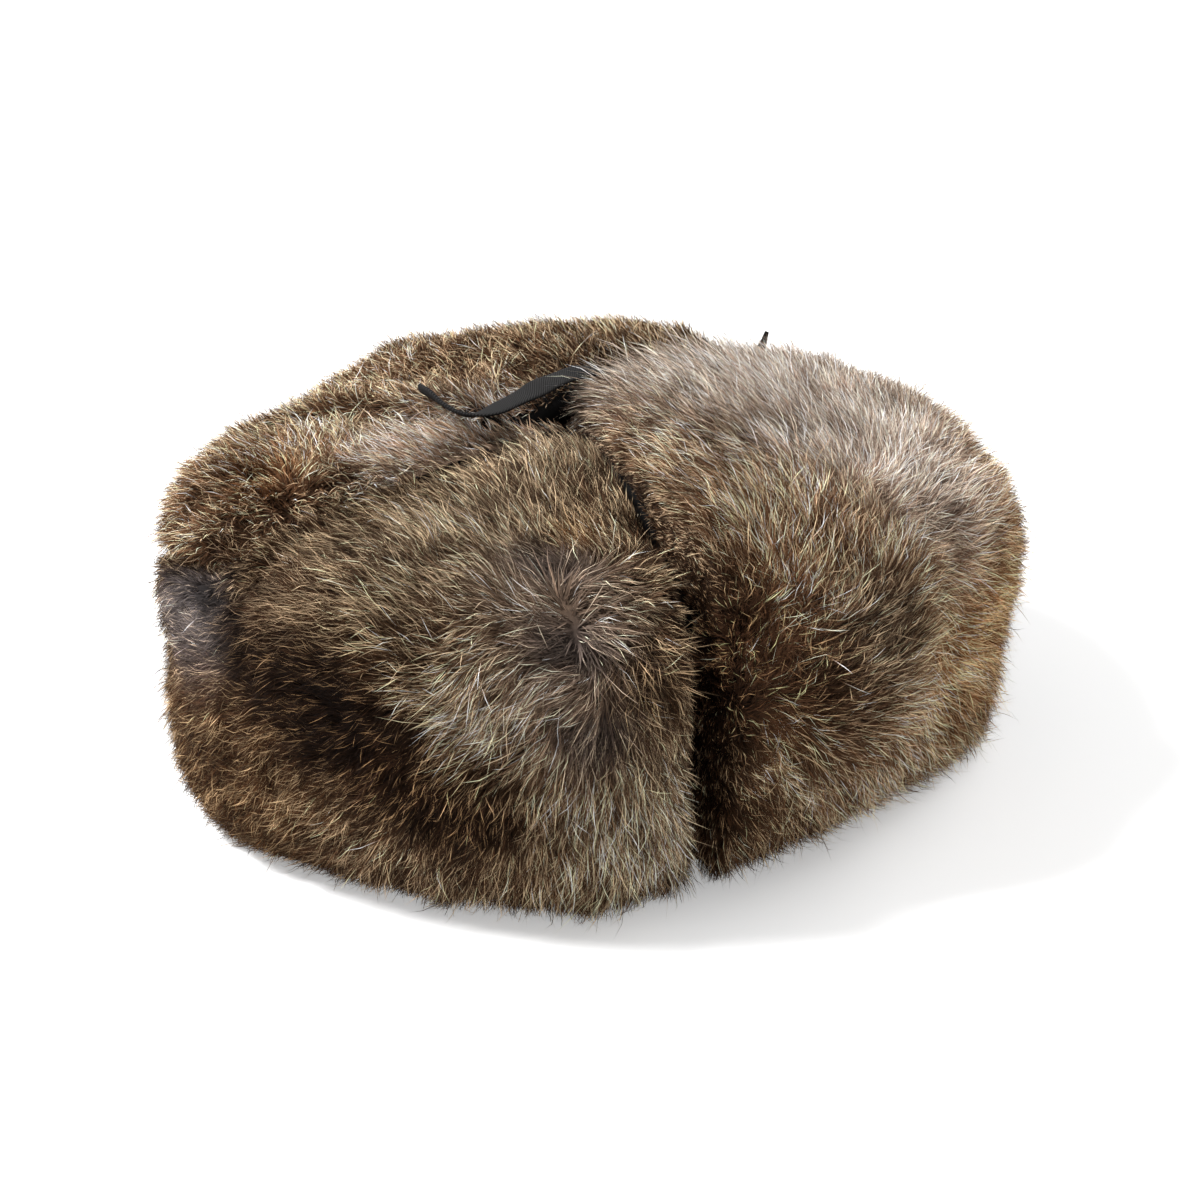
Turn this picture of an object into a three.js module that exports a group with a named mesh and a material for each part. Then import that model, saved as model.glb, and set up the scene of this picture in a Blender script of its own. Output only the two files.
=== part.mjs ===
// Fur ushanka with its flaps folded up and tied on top, in millimetres, +Z up.
// The front faces -Y, the wearer's left is +X, and the hem stands on z = 0.
// Azimuths are in degrees from the front, positive towards the wearer's left.
import * as THREE from 'three';
import { mergeVertices } from 'three/addons/utils/BufferGeometryUtils.js';

// Head opening and cloth crown
const headHalfWidth = 84;
const headHalfLength = 100;
const clothWall = 3;
const crownHeight = 101;
const crownSquareness = 4;
const crownSides = 40;
const crownRings = 9;

// Outer form of the fur, measured at the roots of the locks
const rimHalfWidth = 121;
const rimHalfLength = 139;
const rimHeight = 75;
const topHeight = 122;
const hemFade = 48;
const hemSeat = 0.7;
const topSeat = 2.4;

// Thickness of skin and fur, thinning upwards between shares of a section's run
const hemThickness = 38;
const furThickness = 27;
const tipThickness = 11;
const hemThinsUntil = 0.25;
const tipThinsFrom = 0.5;

// Rolled edges, as shares of the thickness, at a flap's sides and over its last rows
const edgeRound = 0.42;
const edgeSections = 2.2;
const tipRoll = [0.1, 0.5];
const deepestRoll = 0.75;
const hemLift = 0.8;

// Locks of fur, in staggered rows with their tips towards the hem
const lockHeight = 5.5;
const lowLockShare = 0.25;
const lockTipShare = 0.34;
const lockPointShift = 0.2;
const lockJitter = 0.3;
const lockSpacing = 8;
const lockEdgeLoss = 0.6;
const lockFadeSteps = 3;

// Sections along each flap, and rows of locks up it
const flapGrid = { sections: 26, lockRows: 10 };
const neckGrid = { sections: 24, lockRows: 6 };

// Ties and their knot
const ribbonWidth = 8;
const ribbonThickness = 1.2;
const ribbonBevel = 0.42;
const ribbonSteps = 26;
const knotSize = { x: 9.6, y: 8.6, z: 7.6 };
const knotCentre = { x: -4.6, y: 24.2, z: 113 };
const knotSides = { around: 12, down: 8 };

const looks = {
  frontFur: { color: 0x6e5c48, roughness: 0.95 },
  paleFur: { color: 0x8d7a63, roughness: 0.95 },
  backFur: { color: 0x75603f, roughness: 0.95 },
  blackCloth: { color: 0x151414, roughness: 0.9 },
  blackTape: { color: 0x2b2b2d, roughness: 0.85 },
};

// Side view of the fur: reach is a share of the way from a flap's tip to the rim
const profile = [
  { at: 0.0, reach: 0.905, height: 0 },
  { at: 0.07, reach: 0.952, height: 7 },
  { at: 0.2, reach: 0.985, height: 25 },
  { at: 0.34, reach: 1.0, height: 50 },
  { at: 0.48, reach: 1.0, height: 75 },
  { at: 0.6, reach: 0.955, height: 92.5 },
  { at: 0.7, reach: 0.86, height: 104 },
  { at: 0.8, reach: 0.69, height: 111.5 },
  { at: 0.9, reach: 0.38, height: 118 },
  { at: 1.0, reach: 0.0, height: 122 },
];

// The hem's width all round, as a share of the plain profile's
const hemline = [
  { at: -180, share: 1.02 },
  { at: -120, share: 1.02 },
  { at: -80, share: 1.0 },
  { at: -41, share: 1.02 },
  { at: -11, share: 0.985 },
  { at: 6, share: 0.97 },
  { at: 24, share: 0.99 },
  { at: 40, share: 1.02 },
  { at: 51, share: 0.98 },
  { at: 62, share: 0.93 },
  { at: 84, share: 0.92 },
  { at: 98, share: 0.94 },
  { at: 108, share: 1.0 },
  { at: 122, share: 1.03 },
  { at: 180, share: 1.02 },
];

// Bulges and hollows of the soft form, rise in mm, wide in degrees, tall in mm
const relief = [
  { name: 'right corner bulge', azimuth: -40, height: 88, rise: 4.5, wide: 15, tall: 18 },
  { name: 'sunken right shoulder', azimuth: -88, height: 104, rise: -8, wide: 34, tall: 16 },
  { name: 'slope under the bulge', azimuth: -46, height: 44, rise: -5, wide: 14, tall: 16 },
  { name: 'hollow behind the corner', azimuth: -63, height: 105, rise: -6, wide: 9, tall: 12 },
  { name: 'sunken back shoulder', azimuth: -138, height: 108, rise: -8, wide: 26, tall: 14 },
  { name: 'front shoulder', azimuth: 30, height: 96, rise: 3, wide: 20, tall: 20 },
  { name: 'left flap hollow', azimuth: 64, height: 80, rise: -7, wide: 8, tall: 17 },
  { name: 'left flap dimple', azimuth: 62, height: 32, rise: -4, wide: 6, tall: 10 },
  { name: 'left flap ridge', azimuth: 83, height: 66, rise: 4.5, wide: 8, tall: 34 },
  { name: 'valley behind the ridge', azimuth: 97, height: 70, rise: -3.5, wide: 6, tall: 32 },
  { name: 'right flap ridge', azimuth: -96, height: 66, rise: 4, wide: 11, tall: 34 },
  { name: 'left temple of the back', azimuth: 134, height: 66, rise: 5, wide: 14, tall: 22 },
  { name: 'right temple of the back', azimuth: -140, height: 64, rise: 4, wide: 14, tall: 24 },
];

// One row for each main section of a flap, from one of its side edges to the other.
// at is the azimuth at the hem, and lean how far the section swings as it rises
// from height from to height to; tipX, tipY and tipZ are where it ends on top.
const frontRows = [
  { at: -54.5, lean: 41, from: 52, to: 96, tipX: 1.8, tipY: -21, tipZ: 106.5 },
  { at: -42, lean: 32, from: 50, to: 98, tipX: 3, tipY: -20.6, tipZ: 106.5 },
  { at: -20, lean: 15, from: 50, to: 100, tipX: 4.6, tipY: -20, tipZ: 107 },
  { at: 10, lean: 3, from: 50, to: 100, tipX: 6.8, tipY: -18.6, tipZ: 107.5 },
  { at: 54.5, lean: 0, from: 50, to: 100, tipX: 10.5, tipY: -15.5, tipZ: 108 },
];
const rightRows = [
  { at: -57, lean: 40, from: 52, to: 96, tipX: -2.2, tipY: -18, tipZ: 109.5 },
  { at: -62, lean: 28, from: 52, to: 98, tipX: -9, tipY: -20, tipZ: 110.5 },
  { at: -68, lean: 13, from: 52, to: 100, tipX: -19, tipY: -27.5, tipZ: 110 },
  { at: -70.5, lean: 10, from: 52, to: 100, tipX: -20.5, tipY: -29.5, tipZ: 110 },
  { at: -72.5, lean: 10, from: 60, to: 100, tipX: -20, tipY: -29, tipZ: 119.5 },
  { at: -77, lean: 7, from: 60, to: 100, tipX: -14.5, tipY: -18, tipZ: 120.5 },
  { at: -84, lean: 3, from: 60, to: 100, tipX: -11.4, tipY: -3, tipZ: 121 },
  { at: -92, lean: 0, from: 60, to: 100, tipX: -11, tipY: 13, tipZ: 121 },
  { at: -98, lean: 0, from: 97, to: 114, tipX: -10.8, tipY: 25, tipZ: 121 },
  { at: -103, lean: -2, from: 97, to: 114, tipX: -7, tipY: 32, tipZ: 121 },
  { at: -110, lean: -5, from: 97, to: 114, tipX: -2.6, tipY: 39.5, tipZ: 121 },
  { at: -119, lean: -10, from: 97, to: 114, tipX: 2.4, tipY: 49, tipZ: 120.5 },
  { at: -127, lean: -15, from: 97, to: 114, tipX: 6.2, tipY: 60, tipZ: 119 },
];
const leftRows = [
  { at: 57, lean: 0, from: 97, to: 114, tipX: 8.4, tipY: -11, tipZ: 113.5 },
  { at: 65, lean: 0, from: 97, to: 114, tipX: 3.6, tipY: -3, tipZ: 117 },
  { at: 73, lean: 0, from: 97, to: 114, tipX: 1.3, tipY: 7, tipZ: 120 },
  { at: 82, lean: 0, from: 97, to: 114, tipX: 1.3, tipY: 18, tipZ: 121 },
  { at: 90, lean: 0, from: 97, to: 114, tipX: 1.6, tipY: 27, tipZ: 122 },
  { at: 99, lean: 2, from: 97, to: 114, tipX: 4.8, tipY: 36, tipZ: 122.5 },
  { at: 109, lean: 6, from: 97, to: 114, tipX: 9, tipY: 46, tipZ: 122 },
  { at: 118, lean: 10, from: 97, to: 114, tipX: 11.4, tipY: 53, tipZ: 121 },
  { at: 127, lean: 15, from: 97, to: 114, tipX: 13.4, tipY: 60, tipZ: 120 },
];
const neckRows = [
  { at: 130.8, lean: 0, from: 97, to: 114, tipX: 11, tipY: 58, tipZ: 122.5, upTo: 0.51 },
  { at: 150, lean: 0, from: 97, to: 114, tipX: 10, tipY: 54, tipZ: 122.5, upTo: 0.545 },
  { at: 180, lean: 0, from: 97, to: 114, tipX: 8, tipY: 50, tipZ: 122.5, upTo: 0.56 },
  { at: 210, lean: 0, from: 97, to: 114, tipX: 7, tipY: 54, tipZ: 122.5, upTo: 0.545 },
  { at: 229.2, lean: 0, from: 97, to: 114, tipX: 6.2, tipY: 58, tipZ: 122.5, upTo: 0.51 },
];

// Free ends of the two ties, from the knot to the tip
const rightTieRoute = [
  [-4.7, 19.5, 114],
  [-4.7, 12, 115.6],
  [-4.7, 4, 116],
  [-5, -6, 115.3],
  [-6.4, -15, 114.5],
  [-9, -23, 113.9],
  [-13.6, -30.5, 114.1],
  [-19.5, -36, 114.9],
  [-26.5, -38, 115.9],
  [-33, -38.4, 117.1],
  [-38.5, -37.4, 118.5],
];
const leftTieRoute = [
  [-4.2, 28.9, 113],
  [-2.4, 33, 112.6],
  [0.4, 38.4, 110],
  [3.8, 44.6, 108.2],
  [6.8, 50.6, 107.7],
  [9.4, 56.6, 108.3],
  [11.8, 62.4, 110.4],
  [13.8, 66.8, 114],
  [14.4, 69.4, 119.4],
];

function columnAt(rows, column, x) {
  // Cubic through the rows' values, with each row's slope taken from its neighbours.
  const last = rows.length - 1;
  let i = 0;
  const rising = rows[last].at > rows[0].at ? 1 : -1;
  while (i < last - 1 && rising * (x - rows[i + 1].at) > 0) i += 1;
  const slope = (k) => {
    const a = rows[Math.max(k - 1, 0)];
    const b = rows[Math.min(k + 1, last)];
    return (b[column] - a[column]) / (b.at - a.at);
  };
  const span = rows[i + 1].at - rows[i].at;
  const t = THREE.MathUtils.clamp((x - rows[i].at) / span, 0, 1);
  const start = (1 + 2 * t) * (1 - t) ** 2;
  const end = t * t * (3 - 2 * t);
  const bend = t * (1 - t) ** 2 * slope(i) - t * t * (1 - t) * slope(i + 1);
  return start * rows[i][column] + end * rows[i + 1][column] + bend * span;
}

function scatterAt(i, k) {
  // The same scatter from -1 to 1 for the same lock on every run.
  const [turn, otherTurn, stretch] = [12.9898, 78.233, 43758.5453];
  const wave = Math.sin(i * turn + k * otherTurn) * stretch;
  return 2 * (wave - Math.floor(wave)) - 1;
}

function wrapped(azimuth) {
  return THREE.MathUtils.euclideanModulo(azimuth + 180, 360) - 180;
}

function rimPoint(azimuth) {
  const angle = THREE.MathUtils.degToRad(azimuth);
  const across = Math.sin(angle);
  const along = -Math.cos(angle);
  const reach = 1 / Math.hypot(across / rimHalfWidth, along / rimHalfLength);
  return { x: across * reach, y: along * reach };
}

function reliefAt(azimuth, height) {
  const rises = relief.map((bump) => {
    const side = wrapped(azimuth - bump.azimuth) / bump.wide;
    const up = (height - bump.height) / bump.tall;
    return bump.rise * Math.exp(-side * side - up * up);
  });
  return rises.reduce((sum, rise) => sum + rise, 0);
}

function plainPoint(row, share) {
  // A point of the smooth fur surface, and the azimuth that it lies at.
  const level = columnAt(profile, 'height', share);
  const lift = (row.tipZ - rimHeight) / (topHeight - rimHeight);
  const height = level < rimHeight ? level : rimHeight + (level - rimHeight) * lift;
  const swing = row.lean * THREE.MathUtils.smoothstep(level, row.from, row.to);
  const azimuth = wrapped(row.at + swing);
  const rim = rimPoint(azimuth);
  const low = THREE.MathUtils.clamp(1 - level / hemFade, 0, 1);
  const hem = 1 + (columnAt(hemline, 'share', azimuth) - 1) * low;
  const reach = columnAt(profile, 'reach', share) * hem;
  const x = row.tipX + (rim.x - row.tipX) * reach;
  const y = row.tipY + (rim.y - row.tipY) * reach;
  return { point: new THREE.Vector3(x, y, height), azimuth };
}

function outwardAt(row, share) {
  // Square to the section's run, within the upright plane that it lies in.
  const step = 0.01;
  const low = plainPoint(row, Math.max(share - step, 0)).point;
  const high = plainPoint(row, Math.min(share + step, 1)).point;
  const run = high.clone().sub(low);
  const rim = rimPoint(plainPoint(row, share).azimuth);
  const away = new THREE.Vector3(rim.x - row.tipX, rim.y - row.tipY, 0).normalize();
  const inward = -run.dot(away);
  const steep = new THREE.Vector3(away.x * run.z, away.y * run.z, inward);
  return steep.normalize();
}

function onCrown(point) {
  // Moves a point that would lie in the crown out to the gap that the fur keeps to it.
  const seat = THREE.MathUtils.lerp(hemSeat, topSeat, Math.min(1, point.z / rimHeight));
  const wide = headHalfWidth + clothWall + seat;
  const long = headHalfLength + clothWall + seat;
  const high = crownHeight + topSeat;
  const level = Math.hypot(point.x / wide, point.y / long);
  const sum = level ** crownSquareness + (point.z / high) ** crownSquareness;
  const size = sum ** (1 / crownSquareness);
  return size < 1 ? point.divideScalar(size) : point;
}

function thicknessAt(share) {
  const { lerp, smoothstep } = THREE.MathUtils;
  const body = lerp(hemThickness, furThickness, smoothstep(share, 0, hemThinsUntil));
  return lerp(body, tipThickness, smoothstep(share, tipThinsFrom, 1));
}

function sectionAt(rows, i, grid) {
  // One section up a flap: its outer run with the locks, and its plain inner run.
  const row = { at: THREE.MathUtils.lerp(rows[0].at, rows.at(-1).at, i / grid.sections) };
  for (const name of ['lean', 'from', 'to', 'tipX', 'tipY', 'tipZ']) {
    row[name] = columnAt(rows, name, row.at);
  }
  const upTo = rows[0].upTo === undefined ? 1 : columnAt(rows, 'upTo', row.at);
  const nextAt = row.at + (rows.at(-1).at - rows[0].at) / grid.sections;
  const fromEdge = Math.min(i, grid.sections - i) / edgeSections;
  const nearEdge = Math.max(0, 1 - fromEdge);
  const edgeDrop = edgeRound * (1 - Math.sqrt(1 - nearEdge * nearEdge));
  const steps = 2 * grid.lockRows;
  const outer = [];
  for (let k = 0; k <= steps; k += 1) {
    const isTip = k % 2 === 1;
    const isHigh = (Math.floor(k / 2) + i) % 2 === 0;
    const scatter = 1 + lockJitter * scatterAt(i, k);
    const shift = isHigh ? lockPointShift * scatter : 0;
    const place = Math.floor(k / 2) + (isTip ? lockTipShare - shift : 0);
    const share = (upTo * place) / grid.lockRows;
    const { point, azimuth } = plainPoint(row, share);
    const beside = plainPoint({ ...row, at: nextAt }, share).point;
    const room = Math.min(1, point.distanceTo(beside) / lockSpacing) ** 2;
    const fade = 1 - THREE.MathUtils.smoothstep(k, steps - lockFadeSteps, steps);
    const height = isTip ? lockHeight * (isHigh ? scatter : lowLockShare) : 0;
    const lock = height * room * fade * (1 - nearEdge * lockEdgeLoss);
    const roll = tipRoll[tipRoll.length - 1 - (steps - k)] ?? 0;
    const drop = thicknessAt(share) * Math.min(edgeDrop + roll, deepestRoll);
    point.addScaledVector(outwardAt(row, share), lock + reliefAt(azimuth, point.z) - drop);
    point.z = k === 0 ? 0 : Math.max(point.z, hemLift);
    outer.push(onCrown(point));
  }
  const inner = [];
  for (let k = 0; k <= grid.lockRows; k += 1) {
    const share = (upTo * k) / grid.lockRows;
    const { point } = plainPoint(row, share);
    point.addScaledVector(outwardAt(row, share), -thicknessAt(share));
    point.z = k === 0 ? 0 : Math.max(point.z, hemLift);
    inner.push(onCrown(point));
  }
  return { outer, inner };
}

function capTriangles(outer, inner, start, flip) {
  // Zips the outer and inner runs of one end section together, from hem to tip.
  const faces = [];
  let a = 0;
  let b = 0;
  const innerAt = (k) => start + outer + inner - 1 - k;
  while (a < outer - 1 || b < inner - 1) {
    const outerNext = b >= inner - 1 || (a < outer - 1 && a / (outer - 1) <= b / (inner - 1));
    const third = outerNext ? start + a + 1 : innerAt(b + 1);
    faces.push(flip ? [start + a, innerAt(b), third] : [start + a, third, innerAt(b)]);
    if (outerNext) a += 1;
    else b += 1;
  }
  return faces.flat();
}

function loft(sections) {
  // A closed band through sections that each run up outside and down inside.
  const outer = sections[0].outer.length;
  const inner = sections[0].inner.length;
  const ring = outer + inner;
  const places = sections.flatMap((s) => [...s.outer, ...[...s.inner].reverse()]);
  const faces = [];
  for (let i = 0; i < sections.length - 1; i += 1) {
    for (let k = 0; k < ring; k += 1) {
      const next = (k + 1) % ring;
      const [a, b] = [i * ring + k, i * ring + next];
      faces.push(a, a + ring, b + ring, a, b + ring, b);
    }
  }
  faces.push(...capTriangles(outer, inner, 0, false));
  faces.push(...capTriangles(outer, inner, (sections.length - 1) * ring, true));
  const geometry = new THREE.BufferGeometry().setFromPoints(places);
  geometry.setIndex(faces);
  geometry.computeVertexNormals();
  return geometry;
}

function flap(rows, grid) {
  // Sections from one side edge to the other, always laid towards the wearer's left.
  const turnsLeft = rows.at(-1).at > rows[0].at;
  const sections = [];
  for (let i = 0; i <= grid.sections; i += 1) {
    sections.push(sectionAt(rows, i, grid));
  }
  return loft(turnsLeft ? sections : sections.reverse());
}

function crown() {
  // A dome with a squared shoulder, open below, turned and then drawn out to the head's length.
  const domeLine = (radius, height) => {
    const line = [];
    for (let k = 0; k <= crownRings; k += 1) {
      const angle = (k / crownRings) * (Math.PI / 2);
      const out = Math.cos(angle) ** (2 / crownSquareness);
      const up = Math.sin(angle) ** (2 / crownSquareness);
      line.push(new THREE.Vector2(k === crownRings ? 0 : radius * out, height * up));
    }
    return line;
  };
  const outside = domeLine(headHalfWidth + clothWall, crownHeight);
  const inside = domeLine(headHalfWidth, crownHeight - clothWall).reverse();
  const dome = new THREE.LatheGeometry([...inside, ...outside], crownSides);
  dome.rotateX(Math.PI / 2);
  dome.scale(1, (headHalfLength + clothWall) / (headHalfWidth + clothWall), 1);
  return dome;
}

function ribbon(route) {
  // A flat woven tape with rounded edges, swept along its route.
  const half = { wide: ribbonWidth / 2, thick: ribbonThickness / 2 };
  const edge = ribbonBevel;
  const section = new THREE.Shape([
    new THREE.Vector2(-half.wide, -half.thick + edge),
    new THREE.Vector2(-half.wide + edge, -half.thick),
    new THREE.Vector2(half.wide - edge, -half.thick),
    new THREE.Vector2(half.wide, -half.thick + edge),
    new THREE.Vector2(half.wide, half.thick - edge),
    new THREE.Vector2(half.wide - edge, half.thick),
    new THREE.Vector2(-half.wide + edge, half.thick),
    new THREE.Vector2(-half.wide, half.thick - edge),
  ]);
  const path = new THREE.CatmullRomCurve3(route.map((p) => new THREE.Vector3(...p)));
  return new THREE.ExtrudeGeometry(section, {
    steps: ribbonSteps,
    extrudePath: path,
    bevelEnabled: false,
  });
}

function knot() {
  // The pulled-tight knot of the two ties, held between the flaps' tips.
  const bead = new THREE.SphereGeometry(1 / 2, knotSides.around, knotSides.down);
  bead.scale(knotSize.x, knotSize.y, knotSize.z);
  bead.translate(knotCentre.x, knotCentre.y, knotCentre.z);
  return bead;
}

function closed(geometry) {
  geometry.deleteAttribute('normal');
  geometry.deleteAttribute('uv');
  const whole = mergeVertices(geometry);
  whole.computeVertexNormals();
  return whole;
}

function mesh(name, geometry, look) {
  const material = new THREE.MeshStandardMaterial({ ...look, metalness: 0 });
  const part = new THREE.Mesh(closed(geometry), material);
  part.name = name;
  return part;
}

const hat = new THREE.Group();
hat.add(mesh('crown', crown(), looks.blackCloth));
hat.add(mesh('front_flap', flap(frontRows, flapGrid), looks.frontFur));
hat.add(mesh('right_ear_flap', flap(rightRows, flapGrid), looks.frontFur));
hat.add(mesh('left_ear_flap', flap(leftRows, flapGrid), looks.paleFur));
hat.add(mesh('neck_flap', flap(neckRows, neckGrid), looks.backFur));
hat.add(mesh('tie_knot', knot(), looks.blackTape));
hat.add(mesh('right_tie', ribbon(rightTieRoute), looks.blackTape));
hat.add(mesh('left_tie', ribbon(leftTieRoute), looks.blackTape));

// The origin is under the middle of the whole hat, on the surface that it rests on.
const middle = new THREE.Box3().setFromObject(hat).getCenter(new THREE.Vector3());
hat.position.set(-middle.x, -middle.y, 0);

export default hat;
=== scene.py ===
# Fur ushanka with its flaps folded up and tied on top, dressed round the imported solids
import math

import bpy
import numpy as np
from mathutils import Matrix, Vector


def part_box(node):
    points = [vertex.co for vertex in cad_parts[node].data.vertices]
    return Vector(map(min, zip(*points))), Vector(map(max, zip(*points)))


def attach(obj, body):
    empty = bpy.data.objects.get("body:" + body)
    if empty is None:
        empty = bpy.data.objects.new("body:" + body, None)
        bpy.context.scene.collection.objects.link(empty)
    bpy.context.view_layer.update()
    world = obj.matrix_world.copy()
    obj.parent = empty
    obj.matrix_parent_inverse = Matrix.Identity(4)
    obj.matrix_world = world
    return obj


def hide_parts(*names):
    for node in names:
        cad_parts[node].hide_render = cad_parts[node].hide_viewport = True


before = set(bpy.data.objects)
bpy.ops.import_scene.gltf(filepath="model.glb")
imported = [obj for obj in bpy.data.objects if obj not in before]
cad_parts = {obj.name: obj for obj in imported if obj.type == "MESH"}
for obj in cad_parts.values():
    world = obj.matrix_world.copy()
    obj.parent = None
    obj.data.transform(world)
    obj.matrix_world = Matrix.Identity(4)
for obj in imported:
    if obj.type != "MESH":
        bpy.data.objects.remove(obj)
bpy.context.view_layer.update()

mm = 0.001
mapName = "OFBake"  # the name of the map that the pieces carry and the cloth materials read


def table(columns, *rows):
    # Each row as a dictionary under the columns' names. A row can end in further values by name.
    names = columns.split()
    return [{**dict(zip(names, row)), **dict(*row[len(names):])} for row in rows]


# The camera of the photograph: its turn from the hat's front, its height and its framing
view = {
    "azimuth": 40,
    "elevation": 24,
    "distance": 1000 * mm,
    "target": (1.0 * mm, 1.4 * mm, 45 * mm),
    "halfWidth": 187 * mm,  # half of what the picture takes in at the target
    "sensor": 36,
    "nearest": 10 * mm,
}
viewAzimuth, viewElevation = math.radians(view["azimuth"]), math.radians(view["elevation"])
viewBack = np.array([
    math.sin(viewAzimuth) * math.cos(viewElevation),
    -math.cos(viewAzimuth) * math.cos(viewElevation),
    math.sin(viewElevation),
])


def addCamera():
    data = bpy.data.cameras.new("photoCamera")
    data.sensor_width = view["sensor"]
    data.lens = view["sensor"] * view["distance"] / (2 * view["halfWidth"])
    data.clip_start = view["nearest"]
    camera = bpy.data.objects.new("photoCamera", data)
    camera.location = np.array(view["target"]) + viewBack * view["distance"]
    camera.rotation_euler = (math.pi / 2 - viewElevation, 0, viewAzimuth)
    bpy.context.collection.objects.link(camera)
    bpy.context.scene.camera = camera


addCamera()
print("camera set")


# Form of the hat, with the sizes that its solids have. The head's frame is under the crown's middle.
crownLow, crownHigh = (np.array(corner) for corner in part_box("crown"))
headMiddle = (crownLow + crownHigh) / 2 * (1, 1, 0)

form = {
    "headHalfWidth": 84,
    "headHalfLength": 100,
    "clothWall": 3,
    "crownHeight": 101,
    "crownSquareness": 4,
    "rimHalfWidth": 121,
    "rimHalfLength": 139,
    "rimHeight": 75,
    "topHeight": 122,
    "hemFade": 48,  # height where the hem's own width ends
    "hemThickness": 38,
    "furThickness": 27,
    "tipThickness": 11,
    "hemThinsUntil": 0.25,
    "tipThinsFrom": 0.5,
    "hemSeat": 0.7,
    "topSeat": 2.4,
    "edgeDepth": 0.8,  # how far round the rolled edges go, as a share of the thickness
    "trimFrom": 0.02,  # shares of a flap's height between which its sides' trim sets in
    "trimTo": 0.2,
    "runStep": 0.01,  # share of a flap's height over which the run of its section is taken
}

# Side view of the fur: reach is a share of the way from a flap's tip to the rim
profile = table(
    "at reach height",
    (0.0, 0.905, 0),
    (0.07, 0.952, 7),
    (0.2, 0.985, 25),
    (0.34, 1.0, 50),
    (0.48, 1.0, 75),
    (0.6, 0.955, 92.5),
    (0.7, 0.86, 104),
    (0.8, 0.69, 111.5),
    (0.9, 0.38, 118),
    (1.0, 0.0, 122),
)

# The hem's width all round, as a share of the plain profile's
hemline = table(
    "at share",
    (-180, 1.02), (-120, 1.02), (-80, 1.0), (-41, 1.02), (-11, 0.985),
    (6, 0.97), (24, 0.99), (40, 1.02), (51, 0.98), (62, 0.93),
    (84, 0.92), (98, 0.94), (108, 1.0), (122, 1.03), (180, 1.02),
)

# Bulges and hollows of the soft form, rise in mm, wide in degrees, tall in mm. From the start of
# the front fold on they are the hair's alone, and the solids don't have them.
relief = table(
    "name azimuth height rise wide tall",
    ("right corner bulge", -40, 88, 4.5, 15, 18),
    ("sunken right shoulder", -88, 104, -8, 34, 16),
    ("slope under the bulge", -46, 44, -5, 14, 16),
    ("hollow behind the corner", -63, 105, -6, 9, 12),
    ("sunken back shoulder", -138, 108, -8, 26, 14),
    ("front shoulder", 30, 96, 3, 20, 20),
    ("left flap hollow", 64, 80, -7, 8, 17),
    ("left flap dimple", 62, 32, -4, 6, 10),
    ("left flap ridge", 83, 66, 4.5, 8, 34),
    ("valley behind the ridge", 97, 70, -3.5, 6, 32),
    ("right flap ridge", -96, 66, 4, 11, 34),
    ("left temple of the back", 134, 66, 5, 14, 22),
    ("right temple of the back", -140, 64, 4, 14, 24),
    ("start of the front fold", -14, 67, -3, 7, 10),
    ("front fold", 2, 66, -4, 9, 10),
    ("end of the front fold", 16, 54, -3, 8, 10),
    ("swell over the front fold", 14, 86, 3, 12, 14),
    ("notch behind the bulge", -76, 102, -9, 9, 14),
    ("end of the raised tip", -94, 110, 4.5, 9, 9),
    ("back of the raised tip", -142, 114, 4, 14, 9),
    ("sloping left shoulder", 122, 108, -9, 18, 16),
    ("sunken left of the back", 145, 106, -6, 14, 16),
    ("full back of the bulge", -62, 103, 6, 9, 12),
    ("full front hem", -16, 10, 6.5, 16, 16),
    ("tucked left hem", 110, 34, -4, 20, 24),
    ("fold behind the shoulder", 96, 102, -2.5, 7, 12),
)


def throughRows(rows, column, x):
    # Cubic through the rows' values, each row's slope being that between its two neighbours
    at = np.array([row["at"] for row in rows], float)
    value = np.array([row[column] for row in rows], float)
    if at[0] > at[-1]:
        at, value = at[::-1], value[::-1]
    order = np.arange(len(at))
    before, after = np.maximum(order - 1, 0), np.minimum(order + 1, len(at) - 1)
    slope = (value[after] - value[before]) / (at[after] - at[before])
    i = np.clip(np.searchsorted(at, x) - 1, 0, len(at) - 2)
    span = at[i + 1] - at[i]
    t = np.clip((x - at[i]) / span, 0, 1)
    bend = t * (1 - t) ** 2 * slope[i] - t * t * (1 - t) * slope[i + 1]
    return (1 + 2 * t) * (1 - t) ** 2 * value[i] + t * t * (3 - 2 * t) * value[i + 1] + bend * span


def smoothStep(x, low, high):
    # From 0 at low to 1 at high, level at both ends
    t = np.clip((x - low) / (high - low), 0, 1)
    return t * t * (3 - 2 * t)


def unit(vectors):
    return vectors / np.maximum(np.linalg.norm(vectors, axis=-1, keepdims=True), 1e-12)


def dot(one, other):
    return (one * other).sum(-1, keepdims=True)


def wrapped(azimuth):
    # Degrees, taken to between -180 and 180
    return np.mod(azimuth + 180, 360) - 180


def rimPoint(azimuth):
    # The ellipse of the rim, met along the given azimuth
    across, along = np.sin(np.radians(azimuth)), -np.cos(np.radians(azimuth))
    reach = 1 / np.hypot(across / form["rimHalfWidth"], along / form["rimHalfLength"])
    return np.stack([across * reach, along * reach], -1)


def reliefAt(azimuth, height):
    # A sum of bell curves in azimuth and height
    rise = np.zeros_like(azimuth)
    for bump in relief:
        side = wrapped(azimuth - bump["azimuth"]) / bump["wide"]
        up = (height - bump["height"]) / bump["tall"]
        rise += bump["rise"] * np.exp(-side * side - up * up)
    return rise


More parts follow.
